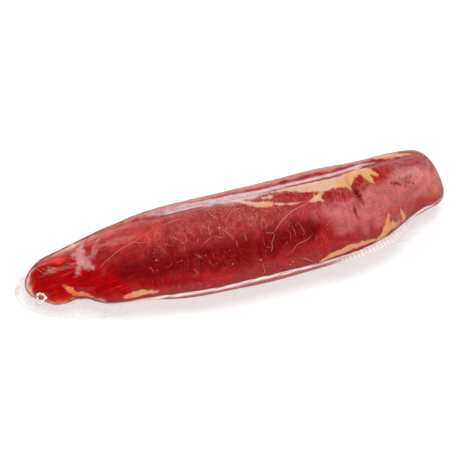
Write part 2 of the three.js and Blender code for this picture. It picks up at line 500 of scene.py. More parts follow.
@dataclass
class Surface:
    """Points, faces and painted fields of one piece, ready to become a mesh."""

    points: np.ndarray
    faces: list[np.ndarray]
    fields: dict[str, np.ndarray] = field(default_factory=dict)
    corners: np.ndarray | None = None  # place of each face corner on the unrolled surface, mm

    def build(self, name: str, shift: np.ndarray, material: bpy.types.Material) -> bpy.types.Object:
        """Makes the object, with its place in its mesh.

        Args:
            name: the piece's name.
            shift: where the form's own zero goes, mm.
            material: the piece's finish.

        Returns:
            The new object.
        """
        loops = np.concatenate([f.ravel() for f in self.faces])
        sizes = np.concatenate([np.full(len(f), f.shape[1]) for f in self.faces])
        mesh = bpy.data.meshes.new(name)
        mesh.vertices.add(len(self.points))
        mesh.vertices.foreach_set("co", ((self.points + shift) * MM).astype(np.float32).ravel())
        mesh.loops.add(len(loops))
        mesh.loops.foreach_set("vertex_index", loops.astype(np.int32))
        mesh.polygons.add(len(sizes))
        mesh.polygons.foreach_set("loop_start", (np.cumsum(sizes) - sizes).astype(np.int32))
        mesh.polygons.foreach_set("use_smooth", np.ones(len(sizes), bool))
        for label, values in self.fields.items():
            plain = values.ndim == 1
            layer = mesh.attributes.new(label, "FLOAT" if plain else "FLOAT_COLOR", "POINT")
            layer.data.foreach_set("value" if plain else "color", values.astype(np.float32).ravel())
        if self.corners is not None:
            layer = mesh.uv_layers.new(name="unrolled")
            layer.data.foreach_set("uv", (self.corners / 100).astype(np.float32).ravel())
        mesh.update(calc_edges=True)
        mesh.validate()
        mesh.materials.append(material)
        piece = bpy.data.objects.new(name, mesh)
        bpy.context.scene.collection.objects.link(piece)
        return piece


def closed_rings(rings: int, around: int) -> tuple[np.ndarray, np.ndarray, np.ndarray]:
    """Faces of a skin of rings between two tips: quads between rings, and a fan at each tip.

    Args:
        rings: number of rings. Their points come first, ring by ring, then the two tips.
        around: points in a ring.

    Returns:
        The quads, the first tip's triangles and the last tip's.
    """
    i, j = np.meshgrid(np.arange(rings - 1), np.arange(around), indexing="ij")
    k = (j + 1) % around
    quads = np.stack([i * around + j, i * around + k, (i + 1) * around + k, (i + 1) * around + j], -1)
    j = np.arange(around)
    k = (j + 1) % around
    first, last = np.full(around, rings * around), np.full(around, rings * around + 1)
    end = (rings - 1) * around
    return quads.reshape(-1, 4), np.stack([first, k, j], -1), np.stack([last, end + j, end + k], -1)


def closed_grid(rings: int, around: int) -> np.ndarray:
    """Quads of a grid that closes both ways, like a ring's skin.

    Args:
        rings: number of sections. Their points come section by section.
        around: points in a section.

    Returns:
        Four point numbers for each quad.
    """
    i, j = np.meshgrid(np.arange(rings), np.arange(around), indexing="ij")
    n, k = (i + 1) % rings, (j + 1) % around
    return np.stack([i * around + j, i * around + k, n * around + k, n * around + j], -1).reshape(-1, 4)


def outward(points: np.ndarray) -> np.ndarray:
    """Unit normals of a grid of rings: the cross product of its steps round and along.

    Args:
        points: the grid, ring by ring.

    Returns:
        One normal for each point.
    """
    around = np.roll(points, -1, 1) - np.roll(points, 1, 1)
    normal = np.cross(around, np.gradient(points, axis=0))
    return normal / np.maximum(np.linalg.norm(normal, axis=-1, keepdims=True), 1e-9)


def unrolled_corners(points: np.ndarray, x: np.ndarray, crest: int, faces: list[np.ndarray]) -> np.ndarray:
    """Place of each face corner on the unrolled surface: mm along, and mm round from the crest.

    Args:
        points: the grid of rings.
        x: places of the rings, mm.
        crest: the column of the crest.
        faces: the quads and the two fans.

    Returns:
        Two numbers for each corner. The cut runs along the column before the first.
    """
    rings, around = points.shape[:2]
    steps = np.linalg.norm(np.diff(np.concatenate([points, points[:, :1]], 1), axis=1), axis=-1)
    arc = np.concatenate([np.zeros((rings, 1)), np.cumsum(steps, 1)], 1)
    arc -= arc[:, crest : crest + 1]
    corners = []
    for face in faces:
        row, column = np.minimum(face // around, rings - 1), face % around
        tip = face >= rings * around
        wraps = (column == 0) & ~tip & (np.where(tip, 0, column).max(1, keepdims=True) == around - 1)
        column = np.where(wraps, around, column)
        own = np.where(tip, 0, row)
        corner_x = np.where(face == rings * around, x[0] - 1, np.where(tip, x[-1] + 1, x[own]))
        corner_y = np.where(tip, 0, arc[own, column])
        corners.append(np.stack([corner_x, corner_y], -1).reshape(-1, 2))
    return np.concatenate(corners)


@dataclass(frozen=True)
class Grain:
    """One noise of the meat's finish: its cells for each unit along each axis, and its character."""

    name: str
    cells: tuple[float, float, float]
    detail: float
    roughness: float = 0.5
    distortion: float = 0.0


@dataclass(frozen=True)
class CuredMeat:
    """Cured lean pork: dark, moist and a little see-through, with salt-firmed fibres and soft cream fat.

    The cure makes the lean translucent, so light enters it and dark wine tones show where it is thick. The
    film clings to the wet face, so the gloss is the film's own: one smooth coat over a dull body.
    """

    light: str = "#cf5a54"
    thread: str = "#cf8a80"
    speck: str = "#d3a3a4"
    gristle: str = "#cf8a80"
    fat_cream: str = "#cfa78d"
    fat_yellow: str = "#d39b64"
    fat_orange: str = "#d9602c"
    # Painted shade laid into the creases and pits
    cut: str = "#6a0809"
    # On the unrolled surface, in cells for each 100 mm: fibres 1 mm wide across the length, folds of 3 mm,
    # fibres along the tail, specks of 1 mm, and three soft noises that place the threads
    unrolled_grains: tuple[Grain, ...] = (
        Grain("crosswise", (105, 26, 1), 4, 0.6, 0.8),
        Grain("folds", (34, 7, 1), 2, distortion=0.5),
        Grain("lengthwise", (5, 56, 1), 5, 0.6, 0.8),
        Grain("specks", (150, 90, 1), 3, 0.6),
        Grain("threaded", (9, 6, 1), 2),
        Grain("steep", (26, 11, 1), 2, distortion=0.7),
        Grain("level", (15, 21, 1), 2, distortion=1.1),
    )
    # In space, in cells for each metre: mottling of 4 mm and of 1.5 mm
    space_grains: tuple[Grain, ...] = (
        Grain("blotch", (240, 240, 240), 3),
        Grain("mottle", (640, 640, 640), 4, 0.65),
    )

    def material(self) -> bpy.types.Material:
        """Builds the finish from the piece's painted fields and noises of real size.

        Returns:
            The material.
        """
        material = bpy.data.materials.new("cured_lean_and_fat")
        material.use_nodes = True
        tree = material.node_tree
        shader = tree.nodes["Principled BSDF"]
        place = add_node(tree, "ShaderNodeTexCoord", output="Object")
        unrolled = add_node(tree, "ShaderNodeUVMap", output="UV", uv_map="unrolled")
        tint = add_node(tree, "ShaderNodeAttribute", output="Color", attribute_name="tint")
        painted = {
            name: add_node(tree, "ShaderNodeAttribute", output="Fac", attribute_name=name)
            for name in ("fat", "tone", "web", "frost", "cut", "tail")
        }
        noises = {
            grain.name: add_node(
                tree,
                "ShaderNodeTexNoise",
                {
                    "Vector": add_node(tree, "ShaderNodeMapping", {"Vector": vector, "Scale": grain.cells}),
                    "Scale": 1.0,
                    "Detail": grain.detail,
                    "Roughness": grain.roughness,
                    "Distortion": grain.distortion,
                },
                "Fac",
            )
            for vector, grains in ((unrolled, self.unrolled_grains), (place, self.space_grains))
            for grain in grains
        }
        # Smooth steps of a value: from, to, and the heights before and after
        steps = {
            name: add_node(
                tree, "ShaderNodeMapRange", dict(zip(RANGE, values)), interpolation_type="SMOOTHSTEP"
            )
            for name, values in {
                "threaded": (noises["threaded"], 0.42, 0.6),
                "fibres": (noises["crosswise"], 0.5, 0.68),
                "streaks": (noises["lengthwise"], 0.5, 0.7),
                "specks": (noises["specks"], 0.48, 0.7, 0.0, 0.32),
                "gristle": (noises["blotch"], 0.45, 0.7, 0.0, 0.45),
                "yellow": (painted["tone"], 0.0, 0.5),
                "orange": (painted["tone"], 0.5, 1.0),
                "fibrous": (painted["web"], 0.0, 1.0, 0.1, 0.75),
            }.items()
        }
        # Threads of connective tissue: thin lines along which a smooth noise has one value
        lines = []
        for name, value, width, strength in (("steep", 0.5, 0.02, 1.0), ("level", 0.47, 0.016, 0.8)):
            off = add_node(tree, "ShaderNodeMath", {0: noises[name], 1: value}, operation="SUBTRACT")
            off = add_node(tree, "ShaderNodeMath", {0: off}, operation="ABSOLUTE")
            near = dict(zip(RANGE, (off, 0.0, width, strength, 0.0)))
            lines.append(add_node(tree, "ShaderNodeMapRange", near, interpolation_type="SMOOTHSTEP"))
        threads = add_node(tree, "ShaderNodeMath", dict(enumerate(lines)), operation="MAXIMUM")
        # The fat's edge is ragged, and the fibres run through it towards the tail
        tail = painted["tail"]
        tail_ragged = add_node(tree, "ShaderNodeMath", {0: tail, 1: 0.9}, operation="MULTIPLY")
        rough_edge = ((noises["mottle"], 0.4), (noises["blotch"], 0.7), (noises["lengthwise"], tail_ragged))
        ragged = dict(zip(RANGE, (unevened(tree, painted["fat"], rough_edge), 0.36, 0.62, 0.0, 0.95)))
        fat_share = add_node(tree, "ShaderNodeMapRange", ragged, interpolation_type="SMOOTHSTEP")
        fat_colour = layered(
            tree,
            linear(self.fat_cream),
            (
                ((steps["yellow"],), linear(self.fat_yellow)),
                ((steps["orange"],), linear(self.fat_orange)),
                ((steps["gristle"],), linear(self.gristle)),
            ),
        )
        # The fibres shade the lean's own colour up and down
        tail_fibres = add_node(tree, "ShaderNodeMath", {0: tail, 1: 1.5}, operation="MULTIPLY")
        folded = add_node(tree, "ShaderNodeMath", {0: tail, 1: -0.35, 2: 0.35}, operation="MULTIPLY_ADD")
        shading = unevened(
            tree,
            1.0,
            (
                (noises["blotch"], 0.9),
                (noises["mottle"], 0.9),
                (noises["lengthwise"], tail_fibres),
                (noises["crosswise"], steps["fibrous"]),
                (noises["folds"], folded),
            ),
        )
        lean = add_node(tree, "ShaderNodeVectorMath", {0: tint, "Scale": shading}, operation="SCALE")
        streaks = add_node(tree, "ShaderNodeMath", {0: steps["streaks"], 1: tail}, operation="MULTIPLY")
        bold = dict(zip(RANGE, (streaks, 0.5, 1.0)))
        bold_streaks = add_node(tree, "ShaderNodeMapRange", bold, interpolation_type="SMOOTHSTEP")
        colour = layered(
            tree,
            lean,
            (
                ((steps["fibres"], painted["web"], 0.3), linear(self.light)),
                ((bold_streaks, 0.25), linear(self.light)),
                ((painted["frost"], steps["specks"]), linear(self.speck)),
                ((threads, steps["threaded"], painted["web"], 0.4), linear(self.thread)),
                ((fat_share,), fat_colour),
                # The creases and pits, darkened with painted shade
                ((painted["cut"],), linear(self.cut)),
            ),
        )
        relief = {0: noises["mottle"], 1: 0.6, 2: noises["crosswise"]}
        height = add_node(tree, "ShaderNodeMath", relief, operation="MULTIPLY_ADD")
        bump = add_node(tree, "ShaderNodeBump", {"Height": height, "Strength": 0.22, "Distance": 0.12 * MM})
        tree.links.new(colour, shader.inputs["Base Color"])
        tree.links.new(bump, shader.inputs["Normal"])
        shader.inputs["Roughness"].default_value = 0.6
        shader.inputs["IOR"].default_value = 1.4
        shader.inputs["Specular IOR Level"].default_value = 0.05
        shader.inputs["Subsurface Weight"].default_value = 0.1
        shader.inputs["Subsurface Radius"].default_value = (1.0, 0.25, 0.15)
        shader.inputs["Subsurface Scale"].default_value = 2 * MM
        shader.inputs["Coat Weight"].default_value = 0.35
        shader.inputs["Coat Roughness"].default_value = 0.17
        shader.inputs["Coat IOR"].default_value = 1.5
        return material


@dataclass
class Meat:
    """The cured tenderloin itself, just under its film."""

    form: BodyForm
    under_film: float = 0.35  # mm from the film's outside to the meat
    least_gap: float = 0.05
    fat_rise: float = 0.16
    cut_depth: float = 0.75
    pit_depth: float = 0.5
    fat_edge: Span = (-0.5, 0.6)  # mm over which the fat's face comes up, then the same of cuts and pits
    cut_edge: Span = (-0.5, 0.7)
    pit_edge: Span = (-0.5, 0.5)
    shade_edge: Span = (-0.35, 0.5)  # mm over which the painted shade of the cuts and pits comes in
    crease_shade: float = 0.85
    frost_edge: Span = (-7, 7)
    frost_share: float = 0.9
    bare_edge: Span = (-1.2, 1.2)
    bare_share: float = 0.95
    fine_lumps: tuple[tuple[float, Ripples], ...] = ((0.04, Ripples(3.6, 11)), (0.03, Ripples(1.9, 12)))
    tip_out: float = 0.15  # mm from the last ring to the tip
    rows: tuple[int, int] = (44, 352)
    around: int = 224
    tone_sharpness: float = 2.5  # how quickly one patch of fat takes over from the next, for each mm
    middle: Values = (60, 90, 225, 255)  # mm: the web of threads fades in and out
    webbed: Values = (64, 80, 108, 126, 176, 200)  # degrees: it fades in, thins out and ends
    thinned: float = 0.8  # how much of it thins out
    tail_end: Span = (48, 92)  # mm: the tail's streaks fade out
    fat: tuple[Streak, ...] = (
        Streak(
            ((152, 75, 0.4), (160, 77, 1.6), (167, 80, 2.8), (175, 83, 3.7), (184, 85, 3.9),
             (190, 86, 3.6)),
            0.05,
        ),
        Streak(((190, 86, 3.6), (196, 87, 3.9), (200, 82, 3.5), (204, 78, 2.9), (209, 68, 0.8)), 0.42),
        Streak(((203, 80, 3.1), (209, 81, 2.9), (213, 84, 2.2), (218, 92, 0.5)), 0.5),
        Streak(((208, 83, 2.4), (210.5, 90, 2.1), (212, 96, 1.5), (213, 101, 0.5)), 0.45),
        Streak(((194, 88, 2.6), (197, 94, 1.5), (197.6, 99, 0.4)), 0.4),
        Streak(
            ((129, 72, 0.4), (133, 80, 1.0), (137, 85, 1.3), (141, 88, 1.4), (146, 90, 1.2),
             (151, 93, 0.8)),
            0.2,
        ),
        Streak(((151, 93, 0.8), (157, 96, 0.4), (164, 98, 0.2)), 0.1),
        Streak(((145.5, 81, 0.7), (150, 83, 0.9)), 0.1),
        Streak(((171, 100, 0.5), (175.5, 97.5, 1.8), (178, 95, 1.2), (181, 91, 0.3)), 0.25),
        Streak(((175, 97, 1.4), (174.5, 92, 0.3)), 0.2),
        Streak(((176, 98, 1.0), (178, 104, 0.3)), 0.2),
        Streak(
            ((207, 178, 1.2), (210, 173, 2.4), (213, 166, 2.3), (214.5, 158, 1.4), (215.8, 149, 0.4)),
            0.6,
        ),
        Streak(((211, 173, 2.4), (217, 169, 2.6), (222.5, 172, 1.8)), 0.55),
        Streak(((217, 168, 1.6), (218.5, 159, 0.5)), 0.5),
        Streak(((226, 153, 0.4), (227, 163, 0.9), (228, 174, 1.3)), 0.4),
        Streak(
            ((168.5, 178, 0.8), (177, 173, 1.9), (186, 171, 2.0), (195.5, 171, 1.7), (204, 175, 0.9)),
            0.45,
        ),
        Streak(((51, 172, 0.6), (54.5, 169, 1.4), (60, 168, 1.9), (65.5, 167, 1.7), (70, 170, 0.8)), 0.62),
        Streak(
            ((20.5, 128, 0.4), (23.5, 140, 1.3), (26.5, 152, 2.1), (31, 163, 2.2), (36, 171, 1.3),
             (41, 176, 0.4)),
            0.82,
        ),
        Streak(((8, 168, 0.8), (13, 180, 1.8), (18, 178, 2.0), (24, 174, 1.2)), 0.95),
        Streak(((222, 58, 0.5), (228, 61, 1.6), (235, 62.5, 1.7), (242, 66, 1.2), (250, 70, 0.4)), 0.35),
        Streak(((58, 22, 0.4), (70, 17, 1.7), (84, 16, 1.4), (95, 21, 0.4)), 0.5),
        Streak(((146, 14, 0.5), (160, 9, 1.8), (176, 11, 2.3), (190, 8, 1.6), (206, 15, 0.4)), 0.35),
        Streak(((176, 11, 1.6), (181, 21, 0.9), (183, 28, 0.3)), 0.3),
        Streak(((112, 31, 0.3), (122, 27, 1.1), (131, 30, 0.3)), 0.2),
        Streak(((92, 250, 0.5), (112, 262, 2.6), (138, 258, 3), (158, 266, 1.4), (168, 272, 0.4)), 0.35),
        Streak(((196, 240, 0.5), (210, 246, 2), (222, 240, 0.6)), 0.5),
    )
    lean: str = "#931e1d"
    regions: tuple[Region, ...] = (
        # Paler, pinker upper side: painted sheen over the pale web of threads
        Region(
            "#993634", 0.8, 5,
            ((68, 82, 3), (88, 86, 7), (106, 87, 8), (124, 92, 8), (140, 98, 7), (176, 108, 4)),
        ),
        Region("#b5372f", 0.7, 5, ((46, 70, 4), (60, 80, 6), (78, 90, 6))),
        # Lighter band low along the front: painted light bounced from the floor
        Region(
            "#981a19", 0.85, 4,
            ((92, 158, 1), (113, 164, 4), (132, 164, 4.5), (156, 158, 5), (172, 152, 5)),
        ),
        Region(
            "#740204", 1.0, 5,
            ((40, 132, 3), (53, 131, 8), (72, 130, 9.5), (88, 131, 10), (105, 135, 10), (122, 135, 9.8),
             (141, 135, 9.2), (159, 133, 8), (169, 129, 5)),
        ),
        Region("#9c0004", 1.0, 5, ((2, 100, 8), (16, 108, 12), (30, 125, 12), (42, 142, 8), (54, 152, 3))),
        Region("#a01a17", 0.8, 3, ((58, 150, 2), (72, 158, 3), (88, 162, 4), (110, 165, 3))),
        Region("#ee4038", 0.85, 1.2, ((11.5, 66, 0.6), (21, 71, 1.1), (30, 76, 0.8))),
        Region("#d62a27", 0.5, 2, ((36, 66, 1.5), (35, 82, 3), (37, 100, 2.5))),
        Region("#cf4a41", 0.75, 1.8, ((40, 55, 0.8), (50, 58, 1.8), (61, 62, 2.4), (75, 62, 1.6))),
        Region("#8c0508", 0.9, 3, ((66, 152, 2.5), (78, 157, 4), (92, 160, 2))),
        Region("#5e0204", 0.6, 4, ((143, 128, 2), (152, 128, 4.5), (163, 126, 3))),
        Region(
            "#b25d5b", 0.85, 6,
            ((176, 118, 3), (190, 124, 11), (208, 128, 14), (228, 132, 14), (250, 125, 12)),
        ),
        Region("#c26d66", 0.75, 5, ((232, 98, 3), (246, 106, 6), (255, 122, 8), (256, 146, 8))),
        Region("#ab2b26", 0.8, 4, ((217, 149, 2), (230, 156, 4), (243, 170, 4), (252, 178, 2))),
        # The next four: darker red round the creases, the cut and the hollow past the fat, painted shade
        Region("#8e1616", 0.9, 2.5, ((179, 98, 2), (188, 101, 4), (196, 106, 3))),
        Region("#8e1414", 0.95, 1.2, ((202, 91, 2.4), (206, 97, 3.4), (204, 104, 1))),
        Region("#7c0a0c", 0.9, 1.4, ((198.5, 95, 1.2), (200, 103, 2.2), (200.3, 112, 1.4), (201, 122, 0.4))),
        Region("#981a15", 0.9, 2.5, ((212, 99, 2), (219, 94, 4.5), (228, 99, 3))),
        Region("#8a2826", 0.85, 3, ((222, 84, 2), (232, 88, 4), (242, 88, 6), (251, 94, 4))),
        Region("#7c1114", 0.7, 6, ((52, 10, 3), (90, 4, 8), (150, -2, 10), (205, 2, 8), (236, 10, 4))),
        Region("#7c1114", 0.7, 6, ((52, 370, 3), (90, 364, 8), (150, 358, 10), (205, 362, 8), (236, 370, 4))),
        Region("#9a2218", 0.9, 3, ((90, 196, 1), (110, 197, 5), (140, 197, 6), (175, 197, 5), (196, 195, 1))),
        Region("#c23517", 0.85, 3, ((6, 158, 1), (15, 172, 3), (27, 172, 2.5), (34, 166, 0.5))),
        Region(
            "#c4552f", 0.7, 1.8,
            ((10, 50, 1.2), (4.3, 54, 1.8), (1.2, 100, 2.2), (2.9, 150, 2.6), (5, 172, 2.4)),
        ),
        Region(
            "#e0b49c", 0.95, 1.0,
            ((9, 51, 0.3), (4.3, 54, 0.8), (0.8, 100, 1.3), (2.2, 150, 1.5), (4, 175, 1.2)),
        ),
        Region(
            "#c8603c", 0.7, 1.6,
            ((16, 46, 1), (26, 47, 2.2), (38, 49, 2.4), (50, 52, 1.4), (66, 52, 0.8)),
        ),
        Region(
            "#dda488", 0.9, 0.9,
            ((20, 44, 0.2), (27, 45, 1.0), (34, 46, 1.2), (40, 47, 0.9), (46, 49, 0.2)),
        ),
        # The strap along the back of the top, pinker: painted sheen
        Region(
            "#be6862", 0.9, 2,
            ((66, 50, 0.5), (81, 49, 3), (106, 47, 3.6), (131, 44, 4.5), (155, 48, 4), (210, 50, 4),
             (240, 56, 2)),
        ),
    )
    frost: tuple[Streak, ...] = (
        Streak(((176, 118, 3), (190, 124, 11), (208, 122, 13), (228, 124, 14), (248, 120, 12))),
    )
    bare: tuple[Streak, ...] = (
        Streak(((202, 91, 2.4), (206, 97, 3.4), (204, 104, 1.5))),
        Streak(((198.5, 95, 1.2), (200, 103, 2.4), (200.3, 112, 1.8), (201, 122, 0.8))),
        Streak(((195, 116, 0.6), (194.5, 127, 1.5), (195, 137, 0.6))),
        Streak(((180, 98, 2), (187, 101, 4), (196, 105, 3))),
        Streak(((212, 99, 2), (219, 95, 4), (227, 100, 2.5))),
    )
    # Creases sunk into the meat and darkened with painted shade, like the pits below
    cuts: tuple[Streak, ...] = (
        Streak(((199.2, 97, 0.2), (200, 103, 1.0), (200.3, 109, 0.8), (200.7, 116, 0.5), (201, 122, 0.1))),
        Streak(((195, 116, 0.2), (194.5, 127, 0.85), (195, 137, 0.2))),
        Streak(((198, 93, 0.1), (202.5, 88, 0.3), (203, 86, 0.1))),
        Streak(((178, 93, 0.1), (188, 92, 0.25), (193, 96, 0.3), (197, 99, 0.3))),
    )
    pits: tuple[Spot, ...] = (
        (225.5, 112, 0.9), (227.5, 114.5, 1), (229.5, 116, 1.1), (231, 118, 0.8), (234.5, 115, 0.9),
        (237, 116, 0.85), (239, 114.5, 0.8), (241.5, 117, 0.9), (246, 121, 0.8), (226.5, 118, 0.75),
        (231.5, 121, 0.85), (237, 122, 0.8), (239, 125, 0.75), (242, 129, 0.9), (235, 127, 0.7),
        (233, 112, 0.7),
    )

    def sculpt(self, x: np.ndarray, deg: np.ndarray, points: np.ndarray) -> np.ndarray:
        """Depth of the meat below the film in mm: the film's gap, sharper cuts, edges of fat and fine lumps.

        Args:
            x: places along the length, mm.
            deg: angles round, degrees.
            points: the film's surface there.

        Returns:
            Outward offset, mostly negative.
        """
        form = self.form
        fat = smooth(*self.fat_edge, depth_in(self.fat, form, x, deg))
        cut = smooth(*self.cut_edge, depth_in(self.cuts, form, x, deg))
        pit = smooth(*self.pit_edge, depth_in([Streak((pit,)) for pit in self.pits], form, x, deg))
        fine = sum(height * ripples.at(points) for height, ripples in self.fine_lumps)
        offset = self.fat_rise * fat - self.cut_depth * cut - self.pit_depth * pit + fine
        return np.minimum(offset - self.under_film, -self.least_gap)

    def paint(self, x: np.ndarray, deg: np.ndarray, points: np.ndarray) -> dict[str, np.ndarray]:
        """Painted fields for the finish.

        Args:
            x: places along the length, mm.
            deg: angles round, degrees.
            points: the film's surface there.

        Returns:
            Each field's values by its name, from 0 to 1. The tint has four numbers at each place.
        """
        form = self.form
        uneven = Ripples(9, 21).at(points)
        depths = np.stack([patch.depth(form, x, deg) for patch in self.fat])
        tones = np.array([patch.tone for patch in self.fat])
        weights = np.exp(self.tone_sharpness * np.clip(depths, -6, 6))
        tone = (weights * tones[:, None, None]).sum(0) / weights.sum(0)
        openings = [*self.cuts, *(Streak((pit,)) for pit in self.pits)]
        tint = np.ones((*x.shape, 4)) * linear(self.lean)
        for region in self.regions:
            share = region.over(form, x, deg, uneven)[..., None]
            tint = tint * (1 - share) + share * linear(region.colour)
        # Painted shade in the cuts and pits
        dark = smooth(*self.shade_edge, depth_in(openings, form, x, deg))
        frost = smooth(*self.frost_edge, depth_in(self.frost, form, x, deg) + 2 * uneven)
        covered = 1 - self.bare_share * smooth(*self.bare_edge, depth_in(self.bare, form, x, deg))
        web = smooth(*self.middle[:2], x) * (1 - smooth(*self.middle[2:], x)) * smooth(*self.webbed[:2], deg)
        web = web * (1 - self.thinned * smooth(*self.webbed[2:4], deg)) * (1 - smooth(*self.webbed[4:], deg))
        return {
            "fat": np.clip(0.5 + depths.max(0) * 0.2, 0, 1),
            "tone": np.clip(tone + 0.08 * uneven, 0, 1),
            "tint": tint,
            "web": web,
            "frost": self.frost_share * frost * covered,
            "cut": self.crease_shade * dark,
            "tail": 1 - smooth(*self.tail_end, x),
        }

    def build(self, shift: np.ndarray) -> bpy.types.Object:
        """Builds the meat, hides the imported solid it stands for, and returns it.

        Args:
            shift: where the form's zero goes, mm.

        Returns:
            The meat.
        """
        form = self.form
        rows, angles = form.rows(*self.rows), form.angles(self.around)
        x, deg = np.meshgrid(rows, angles, indexing="ij")
        film = form.surface(x, deg)
        grid = film + outward(film) * self.sculpt(x, deg, film)[..., None]
        grid[..., 2] = np.maximum(grid[..., 2], 0.1)
        step = np.array([self.tip_out, 0, 0])
        tips = np.stack([grid[0].mean(0) - step, grid[-1].mean(0) + step])
        faces = list(closed_rings(len(rows), self.around))
        fields = {
            label: np.concatenate([values.reshape(-1, *values.shape[2:]), values[[0, -1]].mean(1)])
            for label, values in self.paint(x, deg, film).items()
        }
        crest = int(np.argmin(abs(angles - 90)))
        corners = unrolled_corners(grid, rows, crest, faces)
        points = np.concatenate([grid.reshape(-1, 3), tips])
        piece = Surface(points, faces, fields, corners).build("meat", shift, CuredMeat().material())
        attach(piece, BODY)
        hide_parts("tenderloin")
        return piece


@dataclass(frozen=True)
class ThreadTissue:
    """Fine connective threads: strands of collagen left on the meat's face, pale and half see-through."""

    faint: str = "#b04a44"
    bright: str = "#d49c90"

    def material(self) -> bpy.types.Material:
        """Builds the finish: the stronger a thread, the paler it is.

        Returns:
            The material.
        """
        material = bpy.data.materials.new("collagen_threads")
        material.use_nodes = True
        tree = material.node_tree
        shader = tree.nodes["Principled BSDF"]
        strength = add_node(tree, "ShaderNodeAttribute", output="Fac", attribute_name="strength")
        colour = layered(tree, linear(self.faint), (((strength,), linear(self.bright)),))
        tree.links.new(colour, shader.inputs["Base Color"])
        shader.inputs["Roughness"].default_value = 0.45
        shader.inputs["IOR"].default_value = 1.45
        return material


@dataclass(frozen=True)
class Thread:
    """One drawn thread: the places it runs through, its half width in mm and how pale it is."""

    places: tuple[Place, ...]
    radius: float = 0.22
    strength: float = 0.7


